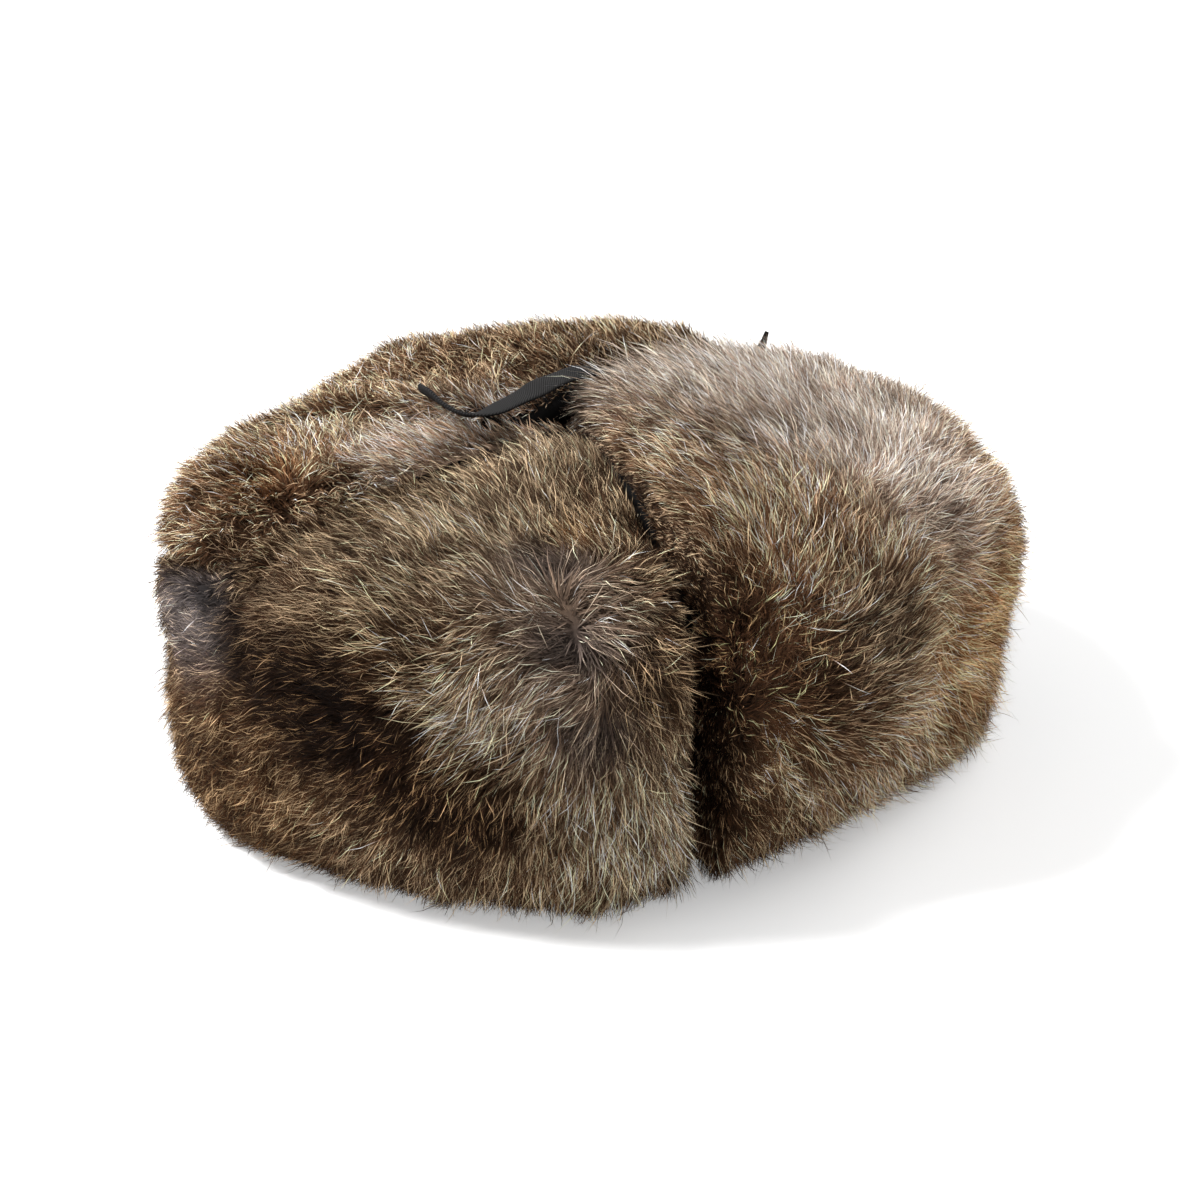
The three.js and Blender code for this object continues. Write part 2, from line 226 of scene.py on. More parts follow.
def thicknessAt(share):
    # From the hem's thickness to the body's, and on to the tip's
    low = smoothStep(share, 0, form["hemThinsUntil"])
    body = form["hemThickness"] + (form["furThickness"] - form["hemThickness"]) * low
    return body + (form["tipThickness"] - body) * smoothStep(share, form["tipThinsFrom"], 1)


def plainPoint(rows, at, share):
    # From the flap's tip towards the rim by the profile's reach, at the profile's height,
    # with the section's azimuth swinging by its lean as it rises
    level = throughRows(profile, "height", share)
    names = ("lean", "from", "to", "tipX", "tipY", "tipZ")
    row = {name: throughRows(rows, name, at) for name in names}
    lift = (row["tipZ"] - form["rimHeight"]) / (form["topHeight"] - form["rimHeight"])
    high = form["rimHeight"] + (level - form["rimHeight"]) * lift
    height = np.where(level < form["rimHeight"], level, high)
    azimuth = wrapped(at + row["lean"] * smoothStep(level, row["from"], row["to"]))
    rim = rimPoint(azimuth)
    low = np.clip(1 - level / form["hemFade"], 0, 1)
    hem = 1 + (throughRows(hemline, "share", azimuth) - 1) * low
    reach = throughRows(profile, "reach", share) * hem
    tip = np.stack([row["tipX"], row["tipY"]], -1)
    flat = tip + (rim - tip) * reach[..., None]
    return np.concatenate([flat, height[..., None]], -1), azimuth, unit(rim - tip)


def outwardAt(rows, at, share):
    # Square to the section's run, in the upright plane through the tip and the rim
    step = form["runStep"]
    low = plainPoint(rows, at, np.maximum(share - step, 0))[0]
    high = plainPoint(rows, at, np.minimum(share + step, 1))[0]
    run = high - low
    away = plainPoint(rows, at, share)[2]
    inward = -dot(run[..., :2], away)
    return unit(np.concatenate([away * run[..., 2:], inward], -1))


def onCrown(points):
    # Points inside the crown's squared dome move out to the gap that the fur keeps to it
    up = np.minimum(1, points[..., 2] / form["rimHeight"])
    seat = form["hemSeat"] + (form["topSeat"] - form["hemSeat"]) * up
    wide = form["headHalfWidth"] + form["clothWall"] + seat
    long = form["headHalfLength"] + form["clothWall"] + seat
    high = form["crownHeight"] + form["topSeat"]
    power = form["crownSquareness"]
    level = np.hypot(points[..., 0] / wide, points[..., 1] / long)
    size = (level ** power + (points[..., 2] / high) ** power) ** (1 / power)
    return points / np.minimum(size, 1)[..., None]


def flapPoint(flap, across, up, depth):
    # A flap's surface in mm: across runs from -1 to 1 and up from 0 to 1, both rolling over in a
    # quarter turn at the flap's edges. The plain profile moves outward by the relief, less the drop
    # of the rolled edges and the depth under the tips of the fur.
    rows = flap["rows"]
    first, last = rows[0]["at"], rows[-1]["at"]
    side, tip = flap["sideRoll"], flap["tipRoll"]
    turn = np.clip((np.abs(across) - 1 + side) / side, 0, 1) * math.pi / 2
    flat = np.minimum(np.abs(across) / (1 - side), 1)
    spread = np.sign(across) * ((1 - flap["sideWidth"]) * flat + flap["sideWidth"] * np.sin(turn))
    trim = np.where(across < 0, *flap["sideTrim"]) - 1
    spread *= 1 + trim * smoothStep(up, form["trimFrom"], form["trimTo"])
    at = (first + last) / 2 + (last - first) / 2 * spread
    over = np.clip((up - 1 + tip) / tip, 0, 1) * math.pi / 2
    share = (1 - flap["tipWidth"]) * np.minimum(up / (1 - tip), 1) + flap["tipWidth"] * np.sin(over)
    if "upTo" in rows[0]:
        share = share * throughRows(rows, "upTo", at)
    plain, azimuth, _ = plainPoint(rows, at, share)
    outward = outwardAt(rows, at, share)
    rolled = 1 - np.cos(turn) * np.cos(over)
    drop = rolled * form["edgeDepth"] * thicknessAt(share)
    rise = reliefAt(azimuth, plain[..., 2]) - drop - depth
    points = plain + outward * rise[..., None]
    return points, plain, outward, share


# Scatter and noise, alike on every run. The mixing's large odd numbers spread neighbouring cells.
mixing = {
    "cell": (73856093, 19349663, 83492791),
    "salt": 2654435761,
    "rounds": ((13, 1274126177), (16, 1103515245)),
    "mask": 0x7FFFFFFF,
}


def hashed(cells, salt):
    # A number from 0 to 1 for each whole-numbered cell, by integer mixing
    mixed = (cells.astype(np.int64) * np.array(mixing["cell"])).sum(-1) + salt * mixing["salt"]
    for shift, factor in mixing["rounds"]:
        mixed = (mixed ^ (mixed >> shift)) * factor & mixing["mask"]
    return mixed / mixing["mask"]


def softNoise(points, size, salt):
    # Value noise from -1 to 1: hashed corners of a lattice, blended smoothly between them
    scaled = points / size
    cell = np.floor(scaled)
    part = scaled - cell
    part = part * part * (3 - 2 * part)
    total = np.zeros(len(points))
    for corner in np.ndindex(2, 2, 2):
        weight = np.where(np.array(corner), part, 1 - part).prod(-1)
        total += weight * hashed(cell + corner, salt)
    return 2 * total - 1


def nearestTuft(points, size, salt):
    # The nearest of one jittered point in each cell of a lattice, and two numbers for it from 0 to 1
    cell = np.floor(points / size)
    best = np.full(len(points), np.inf)
    centre, mark, other = np.zeros_like(points), np.zeros(len(points)), np.zeros(len(points))
    for step in np.ndindex(3, 3, 3):
        there = cell + np.array(step) - 1
        jitter = np.stack([hashed(there, salt + k) for k in range(3)], -1)
        spot = (there + jitter) * size
        away = np.linalg.norm(points - spot, axis=-1)
        closer = away < best
        best = np.where(closer, away, best)
        centre = np.where(closer[:, None], spot, centre)
        mark = np.where(closer, hashed(there, salt + 3), mark)
        other = np.where(closer, hashed(there, salt + 4), other)
    return centre, mark, other


def linear(colour):
    # From the 0 to 255 numbers of a picture to the light that they stand for
    share = np.asarray(colour, float) / 255
    return np.where(share <= 0.04045, share / 12.92, ((share + 0.055) / 1.055) ** 2.4)


# Colours of the hair from root to tip
tones = {
    "brown": {"root": (28, 17, 10), "band": (82, 57, 37), "tip": (228, 197, 157)},
    "dark": {"root": (16, 9, 6), "band": (46, 29, 18), "tip": (168, 129, 88)},
    "grey": {"root": (44, 32, 24), "band": (111, 89, 70), "tip": (234, 206, 170)},
    "slate": {"root": (54, 49, 50), "band": (98, 92, 91), "tip": (168, 152, 140)},
    "pale": {"root": (92, 74, 64), "band": (168, 145, 129), "tip": (248, 232, 215)},
    "gold": {"root": (50, 29, 17), "band": (132, 89, 54), "tip": (238, 193, 140)},
    "tan": {"root": (32, 20, 12), "band": (100, 72, 51), "tip": (231, 196, 158)},
    "fluff": {"root": (84, 68, 56), "band": (134, 113, 95), "tip": (222, 202, 178)},
    "orange": {"root": (70, 42, 24), "band": (144, 96, 56), "tip": (226, 182, 128)},
}
clothTone = (15, 14, 14)


def weightsAt(places, points):
    # A bell curve round each place, by the distance over its reach
    middle = np.array([[row["x"], row["y"], row["z"]] for row in places], float)
    reach = np.array([row["reach"] for row in places], float)
    away = np.linalg.norm(points[:, None] - middle, axis=-1) / reach
    return np.exp(-away * away)


def coatAt(flap, points):
    # Length, rise, tangle, lightness, shares of pale and of bare hairs and tones of the coat: the
    # base's, blended with those of the patches by their bell curves times their force
    base, patches = flap["coat"], flap["patches"]
    weight = weightsAt(patches, points) * np.array([patch["force"] for patch in patches])
    weight = np.concatenate([np.ones((len(points), 1)), weight], -1)
    weight /= weight.sum(-1, keepdims=True)
    rows = [base, *({**base, **patch} for patch in patches)]
    coat = {}
    for name in ("length", "rise", "tangle", "light", "pale", "bare"):
        coat[name] = weight @ np.array([row[name] for row in rows], float)
    for name in ("root", "band", "tip"):
        coat[name] = weight @ np.array([linear(tones[row["tone"]][name]) for row in rows])
    return coat


def combAt(flap, points, normals):
    # The way that the hair lies: away from the partings and along the sweeps, each by its bell
    # curve, and then laid flat on the surface
    way = np.zeros_like(points)
    for row in flap["partings"]:
        start, end = np.array(row["start"], float), np.array(row["end"], float)
        line = end - start
        share = np.clip((points - start) @ line / (line @ line), 0, 1)
        away = points - start - share[:, None] * line
        far = np.linalg.norm(away, axis=-1, keepdims=True)
        way += row["pull"] * unit(away) * np.exp(-((far / row["reach"]) ** 2))
    weight = weightsAt(flap["sweeps"], points) * np.array([row["pull"] for row in flap["sweeps"]])
    way += weight @ unit(np.array([row["way"] for row in flap["sweeps"]], float))
    return unit(way - normals * dot(way, normals))


# Lumps of the pelt, in mm
lumps = table("rise size salt", (1.5, 19, 61), (1, 9, 67))

# Creases between the folded pelts, in mm: the skin sinks along them, the hair is short, and hair and skin
# are painted darker there as shade
creaseLook = {"reach": 5.5, "deep": 5.5, "dark": 0.9, "short": 0.6, "fade": 0.4}
creases = np.array([
    (7, -12, 109), (3, -18, 106), (0, -23, 105), (0, -32, 104), (-1, -41, 104), (-5, -51, 104),
    (-7, -63, 104), (-8, -74, 104), (-11, -86, 104), (-13, -97, 104), (-15, -108, 102),
    (-16, -119, 99), (-18, -127, 93), (-21, -132, 87), (-29, -133, 84), (-38, -130, 83),
])

# The grids in steps across and up, lengths in mm
skinLook = {
    "grid": (50, 42),
    "rootGrid": (181, 141),  # the finer one that the hairs are rooted on
    "lowest": 0.3,
    "leastThick": 1.5,
    "hemStandTo": 32,  # height up to which the hem's skin lies deeper
    "rootShare": 0.8,  # of the hair's root tone in the skin's colour, the rest being the band's
    "clothOverlap": 0.03,  # share of a flap's height by which the cloth of its tip goes under the fur
}


def creaseAt(points):
    # How far in a crease, from 0 to 1, by the distance to the nearest of its points
    away = np.linalg.norm(points[:, None] - creases, axis=-1).min(-1) / creaseLook["reach"]
    return np.exp(-away * away)


def skinAt(flap, across, up):
    # The skin lies under the tips by the height that the coat stands to, and is lumpy
    across, up = across.ravel(), up.ravel()
    _, plain, _, _ = flapPoint(flap, across, up, 0)
    coat = coatAt(flap, plain)
    hem = 1 - smoothStep(plain[:, 2], 0, skinLook["hemStandTo"])
    depth = coat["length"] * np.sin(np.radians(coat["rise"])) - flap["stand"] + flap["hemStand"] * hem
    depth += creaseAt(plain) * creaseLook["deep"]
    for lump in lumps:
        depth += lump["rise"] * softNoise(plain, lump["size"], lump["salt"])
    return onCrown(flapPoint(flap, across, up, depth)[0])


def skinGrid(flap):
    # The skin's points and outward normals on a fine grid, the normals by differences both ways
    columns, rows = skinLook["rootGrid"]
    across, up = np.linspace(-1, 1, columns), np.linspace(0, 1, rows)
    a, b = np.meshgrid(across, up, indexing="ij")
    points = skinAt(flap, a, b).reshape(columns, rows, 3)
    normals = unit(np.cross(np.gradient(points, axis=0), np.gradient(points, axis=1))) * flap["handed"]
    return across, up, points, normals


def toHat(points):
    # From the head's frame in mm to the hat's in metres
    return points * mm + headMiddle


def mapOf(u, v):
    return np.stack([u, v], -1)


def addMesh(name, points, faces, colours=None, maps=None):
    # Faces are an array of triangles or of quads. Colours and maps are by vertex.
    mesh = bpy.data.meshes.new(name)
    corners = faces.shape[1]
    mesh.vertices.add(len(points))
    mesh.vertices.foreach_set("co", np.ascontiguousarray(points, np.float32).ravel())
    mesh.loops.add(faces.size)
    mesh.loops.foreach_set("vertex_index", faces.ravel().astype(np.int32))
    mesh.polygons.add(len(faces))
    mesh.polygons.foreach_set("loop_start", np.arange(len(faces), dtype=np.int32) * corners)
    mesh.polygons.foreach_set("use_smooth", np.ones(len(faces), bool))
    mesh.update(calc_edges=True)
    if colours is not None:
        layer = mesh.color_attributes.new("coat", "FLOAT_COLOR", "POINT")
        whole = np.concatenate([colours, np.ones((len(colours), 1))], -1)
        layer.data.foreach_set("color", whole.astype(np.float32).ravel())
    if maps is not None:
        layer = mesh.uv_layers.new(name=mapName)
        layer.uv.foreach_set("vector", maps[faces.ravel()].astype(np.float32).ravel())
    piece = bpy.data.objects.new(name, mesh)
    bpy.context.collection.objects.link(piece)
    return piece


def dress(piece, material, node=None):
    # The piece's material and body, and the node that it stands for, which is hidden
    piece.data.materials.append(material)
    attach(piece, "root")
    if node:
        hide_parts(node)


def scattered(grid, count, highest, rng):
    # Roots even by area: cells of the grid drawn by their area, then a spot between their corners
    across, up, points, normals = grid
    one = points[1:, 1:] - points[:-1, :-1]
    other = points[1:, :-1] - points[:-1, 1:]
    area = np.linalg.norm(np.cross(one, other), axis=-1)
    area[:, up[:-1] > highest] = 0
    area = area.ravel()
    cell = rng.choice(len(area), count, p=area / area.sum())
    i, j = np.divmod(cell, len(up) - 1)
    s, t = rng.random((2, count))
    corners = [(0, 0, (1 - s) * (1 - t)), (1, 0, s * (1 - t)), (0, 1, (1 - s) * t), (1, 1, s * t)]
    root = sum(points[i + a, j + b] * weight[:, None] for a, b, weight in corners)
    normal = unit(sum(normals[i + a, j + b] * weight[:, None] for a, b, weight in corners))
    return across[i] + s * (across[1] - across[0]), up[j] + t * (up[1] - up[0]), root, normal


# Where the coat gets short, between shares of the way out to a flap's sides and up to its tip. Low
# down, its sides lose less.
thinning = {
    "side": (0.78, 0.94),
    "tip": (0.9, 1),
    "low": (0.04, 0.3),
    "lowShare": 0.15,
    # painted shade: share of their loss by which the hairs at the flaps' sides and tips darken
    "paintedEdgeShade": 0.75,
    "bareLength": 0.3,
}

# Between what the random draws are kept, and the numbers that set the noises apart
limits = {"length": (0.4, 1.7), "angle": (4, 88), "width": (0.7, 1.3), "colour": (0.002, 0.98)}
salts = {"drift": 11, "tuft": 23, "stray": (41, 43, 47), "mottle": 53}


def growCoat(flap, grid, layer, rng):
    # Hairs rooted evenly over the skin. Each leaves it at the rise, bends down along the comb turned
    # by noise and by its tuft, and is drawn towards the tuft.
    count = int(layer["count"] * flap["share"])
    across, up, root, normal = scattered(grid, count, flap["furUpTo"], rng)
    coat = coatAt(flap, root)
    stray = np.stack([softNoise(root, layer["straySize"], salt) for salt in salts["stray"]], -1)
    comb = combAt(flap, root + stray * layer["stray"], normal)
    side = np.cross(normal, comb)
    tuft, mark, other = nearestTuft(root, layer["tuftSize"], salts["tuft"])
    turn = softNoise(root, layer["driftSize"], salts["drift"]) * layer["drift"]
    turn += (2 * other - 1) * layer["tuftTurn"] + rng.normal(0, layer["spread"], count)
    turn = np.radians(turn * coat["tangle"])[:, None]
    way = comb * np.cos(turn) + side * np.sin(turn)
    vary = np.clip(rng.normal(1, layer["lengthVary"], count), *limits["length"])
    length = coat["length"] * layer["length"] * vary
    low = thinning["lowShare"]
    sideEdge = smoothStep(np.abs(across), *thinning["side"])
    sideEdge *= low + (1 - low) * smoothStep(up, *thinning["low"])
    tipEdge = smoothStep(up, *thinning["tip"])
    loss = np.maximum(np.where(across < 0, *flap["sideLoss"]) * sideEdge, flap["tipLoss"] * tipEdge)
    crease = creaseAt(root)
    length *= (1 + layer["tuftVary"] * (2 * mark - 1)) * (1 - loss)
    length *= 1 - creaseLook["short"] * crease ** creaseLook["fade"]
    length[rng.random(count) < coat["bare"] * layer["thins"]] *= thinning["bareLength"]
    rise = coat["rise"] * layer["rise"] + rng.normal(0, layer["riseVary"], count)
    rise += layer["tuftLift"] * (2 * other - 1)
    drawn = tuft - root
    drawn = (drawn - normal * dot(drawn, normal)) * layer["draw"]
    bow = (rng.normal(0, layer["bow"], count) * coat["tangle"])[:, None]
    path = [root - normal * layer["sunk"]]
    for start, end in zip(layer["joints"], layer["joints"][1:]):
        share = (start + end) / 2
        bent = rise * (1 + layer["bend"] * (1 - 2 * share))
        angle = np.radians(np.clip(bent, *limits["angle"]))[:, None]
        swerve = side * bow * (2 * share - 1)
        step = unit(np.cos(angle) * (way + swerve) + np.sin(angle) * normal)
        path.append(path[-1] + (step * length[:, None] + 2 * share * drawn) * (end - start))
    path = np.stack(path, 1)
    path[..., 2] = np.clip(path[..., 2], layer["floor"], layer["ceiling"])
    # Painted shade: the hairs darken towards the flaps' edges and in the creases
    shade = (1 - thinning["paintedEdgeShade"] * loss) * (1 - creaseLook["dark"] * crease)
    return path, normal, hairColours(layer, coat, root, mark, shade, rng)


def hairColours(layer, coat, root, mark, shade, rng):
    # A colour for each joint: the tones blended by the layer's ink, times the hair's own lightness and
    # its painted shade
    count = len(root)
    pale = (rng.random(count) < coat["pale"] * layer["pale"] + layer["tuftPale"] * (mark - 0.5))[:, None]
    light = np.exp(rng.normal(0, layer["lightVary"], count) + layer["tuftLight"] * (mark - 0.5))
    light *= np.exp(layer["mottle"] * softNoise(root, layer["mottleSize"], salts["mottle"]))
    light *= coat["light"] * shade
    ink = np.where(pale, layer["paleInk"], layer["darkInk"])[..., None]
    band, tip = np.clip(ink, 0, 1), np.clip(ink - 1, 0, 1)
    base, middle, end = (coat[name][:, None] for name in ("root", "band", "tip"))
    colour = base * (1 - band) + middle * (band - tip) + end * tip
    return np.clip(colour * light[:, None, None], *limits["colour"])


# How the hairs fill their map: half a hair's width on it, and the edges that they keep to
hairMap = {"texel": 1.5 / 1024, "left": 0.01, "right": 0.99, "low": 0.02, "high": 0.98}


def bladeMesh(name, path, normal, colour, layer, rng):
    # A flat spindle along each path: it starts in a point, or in an edge where it has one segment
    # alone, is as wide as told at the joints between, and ends in a point
    count, joints = path.shape[:2]
    run = unit(path[:, -1] - path[:, 0])
    across = unit(np.cross(run, normal))
    facing = np.cross(across, run)
    roll = rng.normal(0, layer["roll"], count)[:, None]
    across = across * np.cos(roll) + facing * np.sin(roll)
    width = layer["width"] * rng.uniform(*limits["width"], count)
    wide = np.array(layer["wide"])
    inner = np.arange(joints)[:-1] if joints == 2 else np.arange(1, joints - 1)
    edge = across[:, None] * (width[:, None] * wide / 2)[..., None]
    pairs = np.stack([path[:, inner] - edge, path[:, inner] + edge], 2)
    pairs = pairs.reshape(count, 2 * len(inner), 3)
    points = np.concatenate([pairs, path[:, -1:]], 1)
    tip = 2 * len(inner)
    order = np.concatenate([np.repeat(inner, 2), [joints - 1]])
    faces = [(tip - 2, tip - 1, tip)]
    for k in range(0, tip - 2, 2):
        faces += [(k, k + 1, k + 3), (k, k + 3, k + 2)]
    if joints > 2:
        points = np.concatenate([points, path[:, :1]], 1)
        order = np.concatenate([order, [0]])
        faces.append((tip + 1, 1, 0))
    faces = (np.arange(count) * len(order))[:, None, None] + np.array(faces)

    # On the map the hairs stand side by side by their brightness, roots down
    along = np.array(layer["joints"])[order]
    rank = np.argsort(np.argsort(colour.mean((1, 2)))) / count
    sideways = np.zeros(len(order))
    sideways[:tip] = np.tile([-hairMap["texel"], hairMap["texel"]], len(inner))
    u = hairMap["left"] + (hairMap["right"] - hairMap["left"]) * rank[:, None] + sideways
    v = hairMap["low"] + (hairMap["high"] - hairMap["low"]) * along
    maps = mapOf(u, np.broadcast_to(v, u.shape))
    inked = colour[:, order].reshape(-1, 3)
    return addMesh(name, toHat(points).reshape(-1, 3), faces.reshape(-1, 3), inked, maps.reshape(-1, 2))


def seen(angle):
    # A way in space from its angle in the photograph: 0 is to the right and 90 is up
    right = np.array([math.cos(viewAzimuth), math.sin(viewAzimuth), 0])
    rise = np.cross(viewBack, right)
    return right * math.cos(math.radians(angle)) + rise * math.sin(math.radians(angle))


def gridFaces(columns, rows, flip=False):
    # Quads of a grid of points, counted along the rows first
    i, j = np.meshgrid(np.arange(columns - 1), np.arange(rows - 1), indexing="ij")
    low = (i * rows + j).ravel()
    faces = np.stack([low, low + rows, low + rows + 1, low + 1], -1)
    return faces[:, ::-1] if flip else faces


def tubeFaces(rings, sides, closed=False):
    # Quads round a tube of rings of points, and from its last ring to its first where it is closed
    i, j = np.meshgrid(np.arange(rings if closed else rings - 1), np.arange(sides), indexing="ij")
    after, beside = (i + 1) % rings, (j + 1) % sides
    corners = [i * sides + j, i * sides + beside, after * sides + beside, after * sides + j]
    return np.stack(corners, -1).reshape(-1, 4)


def addSkin(flap):
    # The skin outside, the lining inside by the flap's thickness, and strips that join their edges
    columns, rows = skinLook["grid"]
    a, b = np.meshgrid(np.linspace(-1, 1, columns), np.linspace(0, 1, rows), indexing="ij")
    a, b = a.ravel(), b.ravel()
    outer = skinAt(flap, a, b)
    _, plain, outward, share = flapPoint(flap, a, b, 0)
    skinDepth = dot(outer - plain, outward)
    under = np.minimum(-thicknessAt(share)[:, None], skinDepth - skinLook["leastThick"])
    inner = onCrown(plain + outward * under)
    points = np.concatenate([outer, inner])
    points[:, 2] = np.maximum(points[:, 2], skinLook["lowest"])
    count = len(a)
    turned = flap["handed"] < 0
    edge = np.concatenate([
        np.arange(columns) * rows,
        (columns - 1) * rows + np.arange(1, rows),
        np.arange(columns - 2, -1, -1) * rows + rows - 1,
        np.arange(rows - 2, 0, -1),
    ])
    after = np.roll(edge, -1)
    strip = np.stack([edge, edge + count, after + count, after], -1)
    faces = np.concatenate([
        gridFaces(columns, rows, turned),
        gridFaces(columns, rows, not turned) + count,
        strip[:, ::-1] if turned else strip,
    ])
    coat = coatAt(flap, plain)
    hide = coat["root"] * skinLook["rootShare"] + coat["band"] * (1 - skinLook["rootShare"])
    hide *= np.minimum(coat["light"], 1)[:, None]
    # Painted shade: the skin is darker in the creases
    hide *= 1 - creaseLook["dark"] * creaseAt(plain)[:, None] ** creaseLook["fade"]
    if flap["furUpTo"] < 1:
        hide[b > flap["furUpTo"] - skinLook["clothOverlap"]] = linear(clothTone)
    colours = np.concatenate([hide, np.tile(linear(clothTone), (count, 1))])
    skin = addMesh(flap["name"] + "Skin", toHat(points), faces, colours)
    dress(skin, furMaterial, flap["node"])


def addCoat(flap, grid, layer):
    rng = np.random.default_rng(layer["seed"] + len(flap["name"]))
    piece = bladeMesh(flap["name"] + layer["name"], *growCoat(flap, grid, layer, rng), layer, rng)
    dress(piece, furMaterial)
    print(piece.name, len(piece.data.polygons), "faces")


class Wire:
    # A socket of a material: sums and products with it make Math nodes
    def __init__(self, tree, socket):
        self.tree, self.socket = tree, socket

    def maths(self, operation, first, second):
        node = self.tree.nodes.new("ShaderNodeMath")
        node.operation = operation
        for socket, value in zip(node.inputs, (first, second)):
            plug(self.tree, socket, value)
        return Wire(self.tree, node.outputs[0])

    def __add__(self, other):
        return self.maths("ADD", self, other)

    def __radd__(self, other):
        return self.maths("ADD", other, self)

    def __sub__(self, other):
        return self.maths("SUBTRACT", self, other)

    def __rsub__(self, other):
        return self.maths("SUBTRACT", other, self)

    def __mul__(self, other):
        return self.maths("MULTIPLY", self, other)

    def __rmul__(self, other):
        return self.maths("MULTIPLY", other, self)


def plug(tree, socket, value):
    if isinstance(value, Wire):
        tree.links.new(value.socket, socket)
    else:
        socket.default_value = value


def addNode(tree, kind, settings=None, output=0, **sockets):
    # A node by its kind, with its settings and its sockets by name
    node = tree.nodes.new("ShaderNode" + kind)
    for name, value in (settings or {}).items():
        setattr(node, name, value)
    for name, value in sockets.items():
        plug(tree, node.inputs[name.replace("_", " ")], value)
    return Wire(tree, node.outputs[output])


def newMaterial(name, settings):
    # A Principled material with its constant sockets set, and the way to wire the others
    material = bpy.data.materials.new(name)
    material.use_nodes = True
    principled = material.node_tree.nodes["Principled BSDF"]
    for socket, value in settings.items():
        principled.inputs[socket].default_value = value
    return material, material.node_tree, principled


furLook = {
    "roughness": 0.62,
    "specular": 0.06,
    "grainSize": 900,  # noise cells in a metre
    "grain": 0.3,
}


def makeFurMaterial():
    material, tree, principled = newMaterial("rabbitFur", {
        "Roughness": furLook["roughness"],
        "Specular IOR Level": furLook["specular"],
    })
    place = addNode(tree, "TexCoord", output=3)
    coat = addNode(tree, "Attribute", {"attribute_name": "coat"})
    grain = addNode(tree, "TexNoise", Vector=place, Scale=furLook["grainSize"], Detail=1)
    shade = (1 - furLook["grain"]) + grain * (2 * furLook["grain"])
    colour = addNode(tree, "VectorMath", {"operation": "SCALE"}, Vector=coat, Scale=shade)
    plug(tree, principled.inputs["Base Color"], colour)
    return material


clothLook = {
    "colour": (17, 16, 16),
    "tapeColour": (21, 20, 20),
    "roughness": 0.86,
    "specular": 0.25,
    "threads": 1600,  # threads in the whole map
    "tapeThreads": 110,
    "weave": 0.35 * mm,
    "bump": 0.6,
    "twillAcross": 0.5,  # slant of the second threads, as a share of the ribs'
    "grainSize": 0.6,  # cells of the noise to a thread
    "least": 0.05,  # shade in the deepest gaps
    "lift": 2.2,  # painted light that the tops of the threads add
    "grain": 0.6,
}


def makeClothMaterial(name, colour, threads, twill):
    # Two sets of threads by sine waves over the piece's own map; twill turns them into diagonal ribs
    material, tree, principled = newMaterial(name, {
        "Roughness": clothLook["roughness"],
        "Specular IOR Level": clothLook["specular"],
    })
    mapped = addNode(tree, "UVMap", {"uv_map": mapName})
    u, v = (addNode(tree, "SeparateXYZ", output=k, Vector=mapped) for k in range(2))
    turns = 2 * math.pi * threads
    sine = {"operation": "SINE"}
    one = addNode(tree, "Math", sine, Value=(u + v * twill) * turns)
    slant = twill * clothLook["twillAcross"]
    other = addNode(tree, "Math", sine, Value=(v - u * slant) * turns)
    # From the waves' -1 to 1 to a height from 0 to 1
    height = one * (other * (1 - twill) + twill) * 0.5 + 0.5
    noiseScale = threads * clothLook["grainSize"]
    grain = addNode(tree, "TexNoise", Vector=mapped, Scale=noiseScale, Detail=2)
    # Painted light and shade of the weave: the threads' tops lighter and the gaps between them darker,
    # with noise on top
    shade = height * clothLook["lift"] + grain * clothLook["grain"] + clothLook["least"]
    tone = tuple(linear(colour))
    base = addNode(tree, "VectorMath", {"operation": "SCALE"}, Vector=tone, Scale=shade)
    plug(tree, principled.inputs["Base Color"], base)
    depth, strength = clothLook["weave"], clothLook["bump"]
    bump = addNode(tree, "Bump", Strength=strength, Distance=depth, Height=height)
    plug(tree, principled.inputs["Normal"], bump)
    return material


furMaterial = makeFurMaterial()
clothMaterial = makeClothMaterial("blackCloth", clothLook["colour"], clothLook["threads"], 0)
tapeMaterial = makeClothMaterial("blackTape", clothLook["tapeColour"], clothLook["tapeThreads"], 1)
print("materials made")


# What the flaps have alike, unless one says otherwise. Pairs are for a flap's first and last side.
flapBase = {
    "slot": "brown_fur",
    "handed": 1,  # -1 where the rows run the other way round the head
    "sideRoll": 0.16,  # share of the grid's steps that a side's roll takes up
    "sideWidth": 0.06,  # and of the flap's half width
    "tipRoll": 0.1,
    "tipWidth": 0.06,
    "stand": 3,  # mm that the hair's tips stand over the form
    "hemStand": 5.5,  # how much lower they stand at the hem
    "share": 1,  # of a layer's number of hairs
    "sideTrim": (1, 1),
    "tipLoss": 0.3,  # share of its length that the hair loses at the tip, as with sideLoss
    "furUpTo": 1,
}

